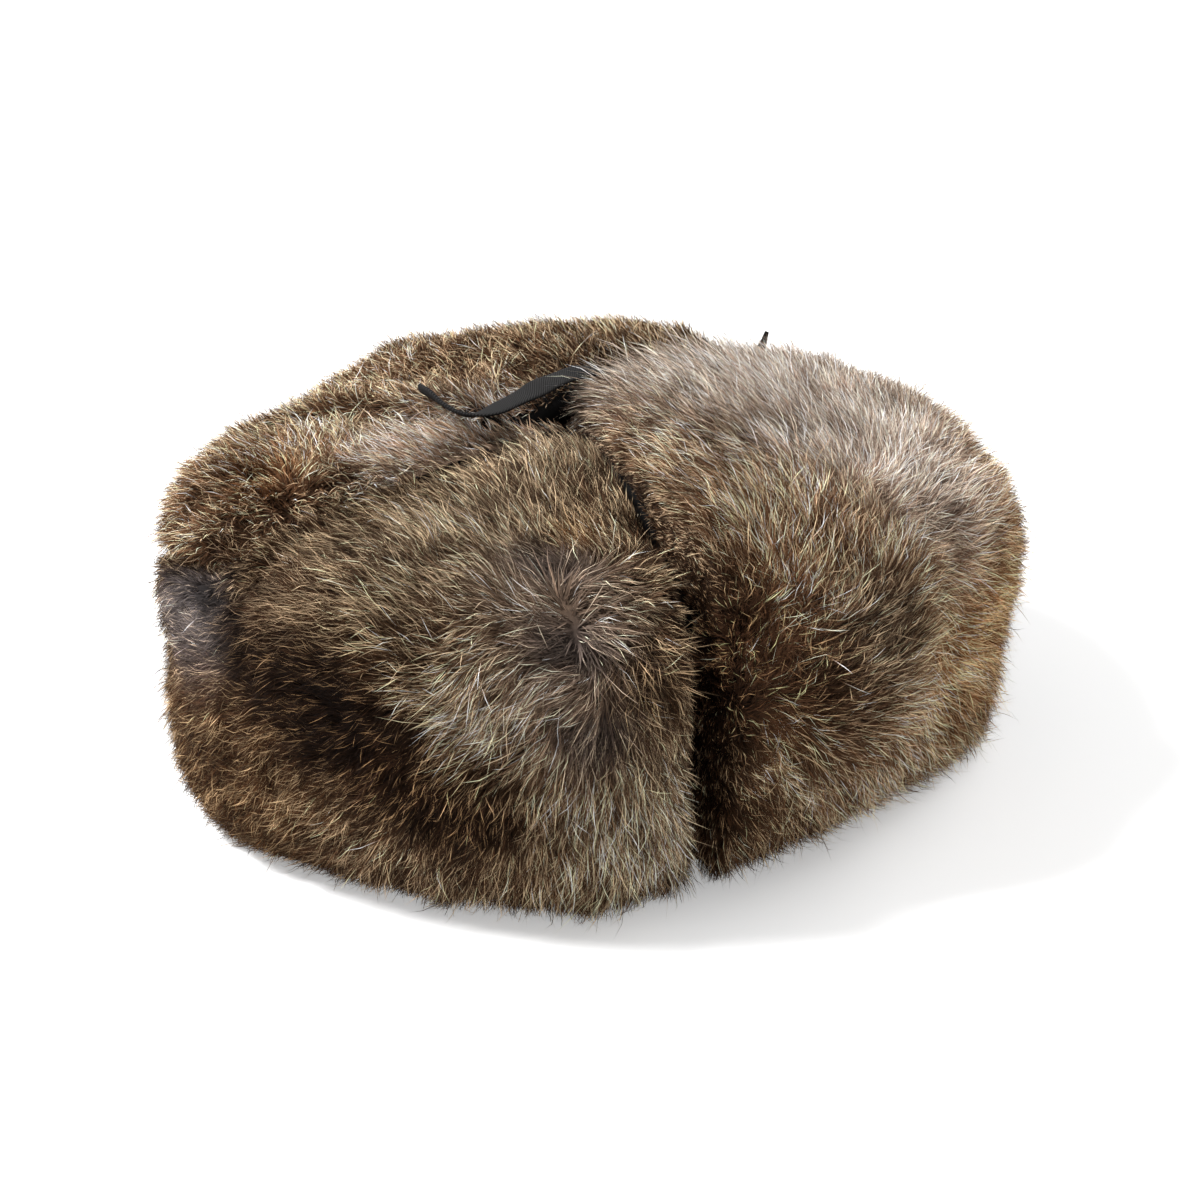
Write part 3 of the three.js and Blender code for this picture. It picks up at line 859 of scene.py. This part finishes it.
frontFlap = {
    **flapBase,
    "name": "frontFur",
    "node": "front_flap",
    "rows": table(
        "at lean from to tipX tipY tipZ",
        (-54.5, 41, 52, 96, 0, -16, 106.5),
        (-42, 32, 50, 98, 1, -16, 106.5),
        (-20, 15, 50, 100, 3, -16, 107),
        (10, 3, 50, 100, 6, -15, 107.5),
        (54.5, 0, 50, 100, 10, -13, 108),
    ),
    "sideRoll": 0.14,
    "sideLoss": (0.35, 0.8),
    "sideTrim": (0.99, 0.988),
    "coat": {
        "tangle": 1, "bare": 0, "length": 9, "rise": 34, "light": 0.72, "pale": 0.34, "tone": "brown",
    },
    "patches": table(
        "name x y z reach force tone pale light",
        ("grey corner", -44, -131, 71, 14, 8, "slate", 0.12, 1.1, {"length": 6, "rise": 18}),
        ("slate line", -36, -135, 81, 8, 8, "slate", 0.05, 1.1, {"length": 6, "rise": 18}),
        ("slate line end", -26, -136, 73, 8, 8, "slate", 0.05, 1.1, {"length": 6, "rise": 18}),
        # Painted shade: the hair under the bulge is darker
        ("under the bulge", -4, -136, 87, 15, 4, "tan", 0.5, 0.34),
        ("lower left", -26, -134, 26, 36, 2, "gold", 0.3, 0.065,
         {"length": 5, "rise": 30, "tangle": 1.8}),
        ("dark band start", -14, -139, 73, 9, 10, "dark", 0.06, 0.35, {"length": 6}),
        ("dark band", 4, -140.5, 68, 11, 12, "dark", 0.06, 0.34, {"length": 6}),
        ("dark band middle", 24, -139, 63, 12, 12, "dark", 0.08, 0.42, {"length": 6}),
        ("dark band right", 42, -133, 53, 12, 12, "dark", 0.12, 0.85, {"length": 6}),
        ("dark band end", 56, -126, 42, 11, 10, "dark", 0.2, 0.6, {"length": 6}),
        ("over the band", 54, -126, 53, 12, 2, "brown", 0.3, 0.5),
        ("parting top", 60, -90, 103, 7, 6, "slate", 0.12, 0.75, {"length": 12, "bare": 0.9, "rise": 24}),
        ("parting middle", 77, -102, 88, 7, 6, "slate", 0.12, 0.75,
         {"length": 13, "bare": 0.9, "rise": 24}),
        ("parting low", 85, -100, 66, 7, 4, "slate", 0.2, 0.6, {"length": 14, "bare": 0.6}),
        ("fluff over the parting", 66, -96, 100, 13, 5, "fluff", 0.3, 1.05,
         {"length": 12, "bare": 0.8, "rise": 26}),
        ("fluff by the parting", 80, -108, 78, 13, 5, "fluff", 0.3, 0.95,
         {"length": 12, "bare": 0.7, "rise": 26}),
        ("dark right of the parting", 90, -90, 80, 7, 5, "dark", 0.3, 0.8, {"length": 12, "tangle": 2.4}),
        ("orange tuft", 57, -72, 105, 5, 4, "orange", 0.35, 0.95, {"length": 12}),
        ("crest", 26, -92, 104, 26, 2, "grey", 0.5, 0.79, {"length": 11}),
        ("swirl", 64, -117, 74, 16, 5, "grey", 0.5, 1.6, {"length": 14, "rise": 40}),
        ("right of the swirl", 92, -84, 72, 14, 2, "brown", 0.3, 0.9, {"length": 13}),
        ("pale side", 94, -84, 38, 22, 4, "grey", 0.5, 1.6, {"length": 13}),
        ("hem", 34, -131, 8, 24, 2, "tan", 0.42, 0.64, {"length": 9}),
        ("hem right", 83, -97, 8, 20, 2, "brown", 0.3, 1, {"length": 12}),
        ("tip", 5, -24, 107, 26, 3, "grey", 0.5, 0.7, {"length": 9}),
    ),
    "partings": table(
        "start end reach pull",
        ((58.6, -86.5, 103.5), (74, -100, 95), 14, 0.4),
        ((74, -100, 95), (87.5, -97.5, 59), 14, 0.4),
    ),
    "sweeps": table(
        "x y z reach pull way",
        (-20, -136, 60, 60, 0.8, seen(195)),
        (14, -143, 68, 45, 0.7, seen(200)),
        (-44, -131, 71, 20, 1.2, seen(180)),
        (6, -133, 92, 26, 1.4, seen(140)),
        (35, -105, 103, 26, 1.4, seen(120)),
        (35, -55, 107, 30, 1.6, seen(98)),
        (-26, -133, 22, 34, 1.2, seen(220)),
        (38, -130, 12, 34, 1.4, seen(252)),
        (83, -97, 10, 30, 1.4, seen(278)),
        (98, -66, 48, 26, 1.4, seen(322)),
        (54, -104, 96, 14, 1.6, seen(180)),
        (64, -114, 80, 16, 1.6, seen(202)),
        (72, -112, 62, 16, 1.4, seen(225)),
        (80, -84, 99, 12, 1.6, seen(335)),
        (92, -88, 82, 12, 1.6, seen(315)),
        (84, -74, 95, 14, 2, seen(290)),
        (96, -73, 74, 14, 2, seen(282)),
        (0, -100, 50, 400, 0.15, seen(215)),
    ),
}

rightFlap = {
    **flapBase,
    "name": "rightFur",
    "node": "right_ear_flap",
    "handed": -1,
    "rows": table(
        "at lean from to tipX tipY tipZ",
        (-57, 40, 52, 96, -1.5, -5, 109.5),
        (-62, 28, 52, 98, -7, -11, 110.5),
        (-68, 13, 52, 100, -18, -25, 110),
        (-70.5, 10, 52, 100, -20.5, -29.5, 110),
        (-72.5, 10, 60, 100, -20, -29, 119.5),
        (-77, 7, 60, 100, -14.5, -18, 120.5),
        (-84, 3, 60, 100, -11.4, -3, 121),
        (-92, 0, 60, 100, -11, 13, 121),
        (-98, 0, 97, 114, -10.8, 25, 121),
        (-103, -2, 97, 114, -7, 32, 121),
        (-110, -5, 97, 114, -2.6, 39.5, 121),
        (-119, -10, 97, 114, 2.4, 49, 120.5),
        (-127, -15, 97, 114, 6.2, 60, 119),
    ),
    "sideWidth": 0.08,
    "stand": 1,
    "share": 0.62,
    "sideLoss": (0.4, 0.5),
    "tipLoss": 0.5,
    "furUpTo": 0.965,
    "coat": {"tangle": 1, "bare": 0, "length": 9, "rise": 34, "light": 1.1, "pale": 0.4, "tone": "brown"},
    "patches": table(
        "name x y z reach force tone pale light",
        ("bulge", -48, -92, 99, 28, 5, "tan", 0.38, 1.65, {"length": 8.5, "tangle": 2.4, "rise": 36}),
        ("bulge middle", -50, -87, 102, 9, 3, "orange", 0.35, 1.7, {"rise": 50, "length": 8}),
        ("bulge corner", -72, -88, 92, 16, 3, "tan", 0.45, 1.5),
        ("pale strip", -22, -52, 108, 17, 6, "fluff", 0.65, 2.9,
         {"length": 9, "tangle": 0.8, "rise": 28}),
        ("pale strip end", -10, -24, 109, 13, 6, "fluff", 0.65, 3.3,
         {"length": 12, "tangle": 0.8, "rise": 28}),
        ("slate patch", 2, -70, 105, 11, 6, "slate", 0.12, 0.3, {"length": 7, "rise": 22}),
        ("raised tip", -50, 5, 113, 36, 3, "tan", 0.42, 0.95, {"tangle": 3.2, "length": 6.5, "rise": 36}),
        ("raised tip end", -80, -19, 104, 18, 4, "tan", 0.42, 1.35,
         {"tangle": 3, "length": 6.5, "rise": 36}),
        ("dark spot", -52, -6, 112, 6, 5, "dark", 0.1, 1.2),
        ("tip edge", -20, 30, 114, 20, 2, "brown", 0.3, 0.96, {"tangle": 1.4}),
    ),
    "partings": table(
        "start end reach pull",
        ((-50, -87, 102.5), (-54, -84, 101.5), 20, 0.9),
    ),
    "sweeps": table(
        "x y z reach pull way",
        (-8, -62, 107, 22, 2.2, seen(182)),
        (-8, -34, 108, 20, 2.2, seen(184)),
        (-78, -80, 92, 24, 1.4, seen(200)),
        (-40, -104, 88, 18, 1.2, seen(250)),
        (-60, -10, 108, 30, 1.3, seen(160)),
        (-45, 25, 113, 30, 1.1, seen(150)),
        (-15, 45, 113, 30, 1.1, seen(135)),
        (-120, 10, 60, 70, 1, (-0.2, 0.2, -1)),
        (-110, 30, 10, 60, 1, (-0.6, 0.1, -0.7)),
        (-60, 60, 105, 50, 0.8, (-1, 0.4, 0)),
        (-80, 0, 60, 400, 0.15, (-0.5, 0.3, -0.6)),
    ),
}

leftFlap = {
    **flapBase,
    "name": "leftFur",
    "node": "left_ear_flap",
    "slot": "pale_fur",
    "rows": table(
        "at lean from to tipX tipY tipZ",
        (57, 0, 97, 114, 8.4, -11, 113.5),
        (65, 0, 97, 114, 2.2, -5, 117),
        (73, 0, 97, 114, -1.2, 5, 120),
        (82, 0, 97, 114, -1, 16.5, 121),
        (90, 0, 97, 114, 1.6, 27, 122),
        (99, 2, 97, 114, 4.8, 36, 122.5),
        (109, 6, 97, 114, 9, 46, 122),
        (118, 10, 97, 114, 11.4, 53, 121),
        (127, 15, 97, 114, 13.4, 60, 120),
    ),
    "sideWidth": 0.08,
    "share": 0.86,
    "sideLoss": (0.75, 0.6),
    "sideTrim": (0.988, 1),
    "tipLoss": 0,
    "coat": {
        "tangle": 1.1, "bare": 0, "length": 9.5, "rise": 34, "light": 1.3, "pale": 0.4, "tone": "tan",
    },
    "patches": table(
        "name x y z reach force tone pale light",
        ("pale inner corner", 4, 26, 116, 20, 6, "pale", 0.7, 0.38, {"length": 14}),
        ("pale top", 36, 38, 117, 30, 9, "pale", 0.7, 1.05, {"length": 11}),
        ("pale top right", 76, 38, 114, 28, 9, "pale", 0.7, 0.84),
        ("pale shoulder", 104, 34, 102, 18, 8, "pale", 0.7, 0.89),
        ("tan middle", 42, -25, 110, 26, 3, "tan", 0.42, 1.45),
        ("tan shoulder", 84, -26, 109, 22, 3, "tan", 0.42, 1.5),
        ("whorl", 110, -29, 97, 6, 5, "tan", 0.35, 1.5, {"length": 8}),
        # Painted shade: the hair in the hollow is darker
        ("hollow", 103, -60, 73, 16, 9, "dark", 0.1, 2.9, {"tangle": 2.4}),
        ("under the hollow", 104, -56, 48, 14, 2, "brown", 0.3, 0.98),
        ("by the ridge", 115, -42, 68, 12, 4, "dark", 0.1, 1.5),
        ("ridge", 122, -22, 76, 15, 3, "grey", 0.5, 0.62),
        ("behind the ridge", 120, 2, 78, 12, 2, "brown", 0.3, 0.88),
        ("back edge", 114, 50, 66, 32, 5, "gold", 0.5, 0.95),
        # Painted shade: the hair in the dimple is darker
        ("dimple", 102, -58, 30, 7, 5, "dark", 0.1, 1.3),
        ("low", 117, -4, 26, 26, 1, "tan", 0.42, 1.35),
        ("hem", 106, -48, 8, 20, 4, "brown", 0.2, 0.8),
    ),
    "partings": table(
        "start end reach pull",
        ((102, -53, 93), (110, -29, 97), 10, 0.2),
    ),
    "sweeps": table(
        "x y z reach pull way",
        (20, -10, 113, 30, 1.4, seen(178)),
        (56, -37, 105, 26, 1.0, seen(180)),
        (96, -42, 100, 22, 1.5, seen(118)),
        (110, -22, 94, 18, 1.4, seen(98)),
        (40, 20, 118, 34, 1.3, seen(150)),
        (70, 50, 114, 26, 1.2, seen(100)),
        (103, 52, 98, 22, 1.4, seen(62)),
        (112, 62, 70, 30, 1.4, seen(-6)),
        (118, 40, 32, 30, 1.3, seen(-35)),
        (120, -22, 70, 22, 1.2, seen(62)),
        (113, -10, 14, 34, 1.3, seen(-55)),
        (100, -55, 14, 24, 1.2, seen(-75)),
        (90, 0, 60, 400, 0.15, seen(-20)),
    ),
}

neckFlap = {
    **flapBase,
    "name": "neckFur",
    "node": "neck_flap",
    "rows": table(
        "at lean from to tipX tipY tipZ upTo",
        (130.8, 0, 97, 114, 11, 58, 122.5, 0.45),
        (150, 0, 97, 114, 10, 54, 122.5, 0.51),
        (180, 0, 97, 114, 8, 50, 122.5, 0.56),
        (210, 0, 97, 114, 7, 54, 122.5, 0.545),
        (229.2, 0, 97, 114, 6.2, 58, 122.5, 0.51),
    ),
    "sideRoll": 0.12,
    "tipRoll": 0.2,
    "tipWidth": 0.14,
    "share": 0.28,
    "sideLoss": (0.5, 0.5),
    "coat": {"tangle": 1, "bare": 0, "length": 9, "rise": 34, "light": 1, "pale": 0.36, "tone": "brown"},
    "patches": table(
        "name x y z reach force tone pale light",
        # Painted shade: the edge against the left flap is darker
        ("edge by the left flap", 100, 84, 76, 20, 1, "dark", 0.1, 1),
        ("hem", 0, 140, 8, 40, 1, "tan", 0.42, 1),
    ),
    "partings": [],
    "sweeps": table(
        "x y z reach pull way",
        (95, 84, 70, 40, 1.2, (0.8, 0.5, 0.1)),
        (0, 130, 84, 60, 0.8, (0, 0.3, 1)),
        (0, 140, 20, 90, 1.2, (0.1, 0.3, -1)),
        (0, 130, 40, 400, 0.2, (0.3, 0, -1)),
    ),
}

# The coat's layers of hair: widths and sizes in mm, turns in degrees, the others as shares. Joints
# are shares of the length, and inks run from the root's tone at 0 by the band's at 1 to the tip's at 2
underCoat = {
    "name": "Under",
    "seed": 300,
    "count": 70000,
    "joints": (0, 1),
    "wide": (1,),
    "darkInk": (0, 1),
    "paleInk": (0, 1),
    "length": 0.75,
    "lengthVary": 0.2,
    "rise": 1.1,
    "riseVary": 9,
    "bend": 0,
    "spread": 20,
    "drift": 30,
    "driftSize": 14,
    "stray": 7,
    "straySize": 9,
    "tuftSize": 5,
    "tuftTurn": 26,
    "tuftVary": 0.1,
    "tuftLift": 8,
    "tuftLight": 0.75,
    "tuftPale": 0,
    "draw": 0.2,
    "bow": 0,
    "sunk": 0.3,
    "floor": 0.4,
    "ceiling": 130.5,
    "width": 0.65,
    "roll": 0.5,
    "lightVary": 0.3,
    "mottle": 0.3,
    "mottleSize": 13,
    "pale": 0,
    "thins": 0,
}

topCoat = {
    **underCoat,
    "name": "Top",
    "seed": 100,
    "count": 98000,
    "joints": (0, 0.6, 1),
    "darkInk": (0, 0.7, 0.9),
    "paleInk": (0.1, 1.85, 2),
    "length": 0.92,
    "lengthVary": 0.22,
    "rise": 1,
    "bend": 0.5,
    "tuftVary": 0.25,
    "tuftLift": 10,
    "tuftPale": 0.25,
    "draw": 0.25,
    "bow": 0.3,
    "width": 0.165,
    "roll": 0.7,
    "lightVary": 0.5,
    "pale": 1,
    "thins": 1,
}

longCoat = {
    **topCoat,
    "name": "Long",
    "seed": 500,
    "count": 14000,
    "joints": (0, 0.35, 0.72, 1),
    "wide": (0.8, 1),
    "darkInk": (0, 0.3, 0.7, 0.3),
    "paleInk": (0.1, 1, 1.9, 2),
    "length": 1.2,
    "lengthVary": 0.25,
    "rise": 1.02,
    "riseVary": 12,
    "spread": 28,
    "draw": 0.1,
    "width": 0.14,
    "pale": 1.4,
}

# The crease where two flaps meet, between shares of their height
seam = {"points": 24, "from": 0.1, "to": 0.97}


def seamBetween(flap, other):
    # Points halfway between two flaps' facing edges, the first one's on its far side
    up = np.linspace(seam["from"], seam["to"], seam["points"])
    ones = np.ones_like(up)
    return (flapPoint(flap, ones, up, 0)[1] + flapPoint(other, -ones, up, 0)[1]) / 2


# The seam between the front and left flaps is a crease too, and gets the creases' painted shade
creases = np.concatenate([creases, seamBetween(frontFlap, leftFlap)])

for flap in (frontFlap, rightFlap, leftFlap, neckFlap):
    addSkin(flap)
    grid = skinGrid(flap)
    for layer in (underCoat, topCoat, longCoat):
        addCoat(flap, grid, layer)


crownLook = {
    "columns": 96,
    "rows": 22,
    "rowCrowding": 1.2,  # power that draws the rows towards the hem
    "topTurn": 0.9999,  # share of the quarter turn, just short of the middle of the top
    "gores": 6,
    "seamDepth": 0.8,
    "seamWidth": 1.6,
    "mapSize": 1000,  # mm of cloth to the whole map
    "mapWidth": 0.6,  # share of the map that the cloth takes up round the head
}


def crownShell(azimuth, turn, inset):
    # A squared dome: its level and its height are roots of the cosine and the sine of one turn
    wide = form["headHalfWidth"] + form["clothWall"] - inset
    long = form["headHalfLength"] + form["clothWall"] - inset
    high = form["crownHeight"] - inset
    power = 2 / form["crownSquareness"]
    level = np.cos(turn) ** power
    return np.stack([
        np.sin(azimuth) * wide * level,
        -np.cos(azimuth) * long * level,
        np.sin(turn) ** power * high,
    ], -1)


def addCrown():
    # Rings from the hem to the top outside, and back down inside, with the gores' seams pressed in
    columns, rows = crownLook["columns"], crownLook["rows"]
    azimuth = np.linspace(0, 2 * math.pi, columns + 1)
    turn = np.linspace(0, 1, rows) ** crownLook["rowCrowding"] * math.pi / 2 * crownLook["topTurn"]
    a, t = np.meshgrid(azimuth, turn, indexing="ij")
    spacing = 2 * math.pi / crownLook["gores"]
    reach = form["headHalfWidth"] * np.cos(t)
    away = (np.mod(a + spacing / 2, spacing) - spacing / 2) * reach / crownLook["seamWidth"]
    outer = crownShell(a, t, crownLook["seamDepth"] * np.exp(-away * away))
    inner = crownShell(a, t, form["clothWall"])
    points = np.concatenate([outer, inner[:, ::-1]], 1)
    run = np.cumsum(np.linalg.norm(np.diff(points[0], axis=0, prepend=points[:1, 0]), axis=-1))
    u = a / (2 * math.pi) * crownLook["mapWidth"]
    u = np.concatenate([u, u[:, ::-1]], 1)
    maps = mapOf(u, np.broadcast_to(run / crownLook["mapSize"], u.shape)).reshape(-1, 2)
    points = points.reshape(-1, 3)
    faces = gridFaces(columns + 1, 2 * rows)
    low = np.arange(columns) * 2 * rows
    hem = np.stack([low, low + 2 * rows - 1, low + 4 * rows - 1, low + 2 * rows], -1)
    crown = addMesh("crownCloth", toHat(points), np.concatenate([faces, hem]), maps=maps)
    dress(crown, clothMaterial, "crown")


# Each tie's line in mm, and by share of its length the tape's width, the turn of its width in
# degrees from lying flat, and its thickness
rightTie = {
    "name": "rightTape",
    "node": "right_tie",
    "route": [
        (-4.7, 19.5, 114), (-4.7, 12, 116), (-6, 4, 118.4), (-7, -4, 119), (-8.3, -12.7, 118.4),
        (-9.6, -22.2, 116.8), (-13.6, -30.5, 114), (-19.5, -36, 112.4), (-26.5, -38, 114.3),
        (-32.5, -38.4, 116.8), (-37, -38, 117.6),
    ],
    "shape": table(
        "at width turn thick",
        (0, 6.4, 4, 1.3),
        (0.08, 7.8, 4, 1.2),
        (0.3, 8, 6, 1.2),
        (0.55, 8, 6, 1.2),
        (0.68, 7.4, -4, 1.2),
        (0.76, 5.4, -20, 1.3),
        (0.9, 3.6, -50, 1.5),
        (1, 2.6, -70, 1.3),
    ),
    "length": 79.9,
}

leftTie = {
    "name": "leftTape",
    "node": "left_tie",
    "route": [
        (-4.2, 28.9, 113), (-2.4, 33, 112.6), (0.4, 38.4, 110), (3.8, 44.6, 108.2), (6.8, 50.6, 107.7),
        (9.4, 56.6, 108.3), (11.8, 62.4, 110.4), (12.8, 66, 113.6), (13.2, 68.4, 118.2),
    ],
    "shape": table(
        "at width turn thick",
        (0, 6.6, 90, 1.3),
        (0.15, 8, 90, 1.2),
        (0.6, 8, 90, 1.2),
        (0.8, 5, 100, 1.2),
        (0.9, 2.6, 115, 1.2),
        (1, 1.4, 130, 1.2),
    ),
    "length": 50.4,
}

tapeLook = {
    "rings": 100,
    "sides": 12,
    "width": 8,
    "rounding": 0.5,  # power of the section's cosine and sine: 1 is an ellipse, 0 a rectangle
    "ruffle": 0.25,
    "ruffleTurn": 31,  # radians of the ruffle's wave over the whole length
    "mapSize": 100,  # mm of tape to the whole map
    "pathStep": 3,  # rings from one point of the cord's path to the next
}


def throughPoints(points, share):
    # A curve through the points by their distance along, each slope between the neighbours'
    points = np.asarray(points, float)
    along = np.concatenate([[0], np.cumsum(np.linalg.norm(np.diff(points, axis=0), axis=-1))])
    rows = [{"at": at, "x": p[0], "y": p[1], "z": p[2]} for at, p in zip(along / along[-1], points)]
    return np.stack([throughRows(rows, name, share) for name in "xyz"], -1)


def addTape(tie):
    # A thin rounded strip along the line: its width turns about the line, its rim ruffles a little
    rings, sides = tapeLook["rings"], tapeLook["sides"]
    share = np.linspace(0, 1, rings)
    line = throughPoints(tie["route"], share)
    run = unit(np.gradient(line, axis=0))
    flat = unit(np.cross(run, (0, 0, 1)))
    up = np.cross(flat, run)
    turn = np.radians(throughRows(tie["shape"], "turn", share))[:, None]
    wide = flat * np.cos(turn) + up * np.sin(turn)
    thin = up * np.cos(turn) - flat * np.sin(turn)
    width, thick = (throughRows(tie["shape"], name, share)[:, None] for name in ("width", "thick"))
    around = np.linspace(0, 2 * math.pi, sides, endpoint=False)
    sideways, upwards = (
        np.sign(wave) * np.abs(wave) ** tapeLook["rounding"] for wave in (np.cos(around), np.sin(around))
    )
    ruffle = tapeLook["ruffle"] * np.sin(share[:, None] * tapeLook["ruffleTurn"]) * sideways
    points = line[:, None] + wide[:, None] * (width * sideways / 2)[..., None]
    points = points + thin[:, None] * (thick * upwards / 2 + ruffle)[..., None]
    u = (sideways + 1) / 2 * tapeLook["width"] / tapeLook["mapSize"]
    v = share[:, None] * tie["length"] / tapeLook["mapSize"]
    maps = mapOf(*np.broadcast_arrays(u, v)).reshape(-1, 2)
    caps = np.array([[k, sides - 1 - k, sides - 2 - k, k + 1] for k in range(sides // 2 - 1)])
    ends = [caps, caps[:, ::-1] + (rings - 1) * sides]
    faces = np.concatenate([tubeFaces(rings, sides), *ends])
    tape = addMesh(tie["name"], toHat(points.reshape(-1, 3)), faces, maps=maps)
    dress(tape, tapeMaterial, tie["node"])
    path = toHat(line[::tapeLook["pathStep"]])
    tie["length"] * mm


# The knot's places and sizes in mm
knot = {
    "middle": (-4.6, 24.2, 113),
    "size": (9.2, 8.2, 7.2),
    "thick": 1.5,
    "flatness": 1.5,  # the tape's width in the knot over its thickness
    "spread": (2.65, 2.65, 1),  # how far the plain trefoil reaches each way
    "rings": 120,
    "sides": 10,
    "map": (0.1, 0.6),  # shares of the tape's map that the knot takes up
}


def addKnot():
    # A trefoil of folded tape drawn tight: two turns about the middle while it goes up and down
    # three times
    rings, sides = knot["rings"], knot["sides"]
    t = np.linspace(0, 2 * math.pi, rings, endpoint=False)
    line = np.stack([np.sin(t) + 2 * np.sin(2 * t), np.cos(t) - 2 * np.cos(2 * t), -np.sin(3 * t)], -1)
    line = line / knot["spread"] * (np.array(knot["size"]) / 2 - knot["thick"])
    run = unit(np.roll(line, -1, 0) - np.roll(line, 1, 0))
    out = unit(line - run * dot(line, run))
    side = np.cross(run, out)
    around = np.linspace(0, 2 * math.pi, sides, endpoint=False)[:, None]
    ring = out[:, None] * np.cos(around) + side[:, None] * np.sin(around) * knot["flatness"]
    points = (line[:, None] + ring * knot["thick"]).reshape(-1, 3) + knot["middle"]
    i, j = np.meshgrid(np.arange(rings), np.arange(sides), indexing="ij")
    maps = mapOf(j / sides * knot["map"][0], i / rings * knot["map"][1]).reshape(-1, 2)
    piece = addMesh("tapeKnot", toHat(points), tubeFaces(rings, sides, closed=True), maps=maps)
    dress(piece, tapeMaterial, "tie_knot")


addCrown()
addTape(rightTie)
addTape(leftTie)
addKnot()
print("crown and ties made")


# Sizes and places in metres, powers in watts
studio = {
    "floorSize": 8,
    "floorColour": (240, 240, 240),
    "floorRoughness": 0.9,
    "floorSpecular": 0.1,
    "floorGlow": 0.38,  # what the backdrop adds to itself where the camera sees it
    "world": 0.42,
    "keyPower": 125,
    "keySize": 0.9,
    "keyPlace": (-1.3, -1.0, 2.1),
    "fillPower": 30,
    "fillSize": 2.2,
    "fillPlace": (0.6, 1.6, 2.0),
    "aim": (0, 0, 0.06),
}


def addFloor():
    half = studio["floorSize"] / 2
    corners = np.array([(-1, -1, 0), (1, -1, 0), (1, 1, 0), (-1, 1, 0)]) * half
    floor = addMesh("studioFloor", corners, np.array([[0, 1, 2, 3]]))
    material, tree, principled = newMaterial("paleFloor", {
        "Base Color": (*linear(studio["floorColour"]), 1),
        "Roughness": studio["floorRoughness"],
        "Specular IOR Level": studio["floorSpecular"],
        "Emission Color": (1, 1, 1, 1),
    })
    camera = addNode(tree, "LightPath")
    plug(tree, principled.inputs["Emission Strength"], camera * studio["floorGlow"])
    floor.data.materials.append(material)


def addLight(name, place, size, power):
    data = bpy.data.lights.new(name, "AREA")
    data.shape = "DISK"
    data.size, data.energy = size, power
    lamp = bpy.data.objects.new(name, data)
    way = np.array(studio["aim"]) - place
    side, lift = math.hypot(way[0], way[1]), way[2]
    lamp.location = place
    lamp.rotation_euler = (math.pi / 2 + math.atan2(lift, side), 0, math.atan2(-way[0], way[1]))
    bpy.context.collection.objects.link(lamp)


def addWorld():
    world = bpy.data.worlds.new("studioAir")
    world.use_nodes = True
    air = world.node_tree.nodes["Background"]
    air.inputs["Color"].default_value = (1, 1, 1, 1)
    air.inputs["Strength"].default_value = studio["world"]
    bpy.context.scene.world = world


addFloor()
addLight("keyLight", studio["keyPlace"], studio["keySize"], studio["keyPower"])
addLight("fillLight", studio["fillPlace"], studio["fillSize"], studio["fillPower"])
addWorld()
bpy.context.scene.view_settings.view_transform = "Standard"
print("studio set")
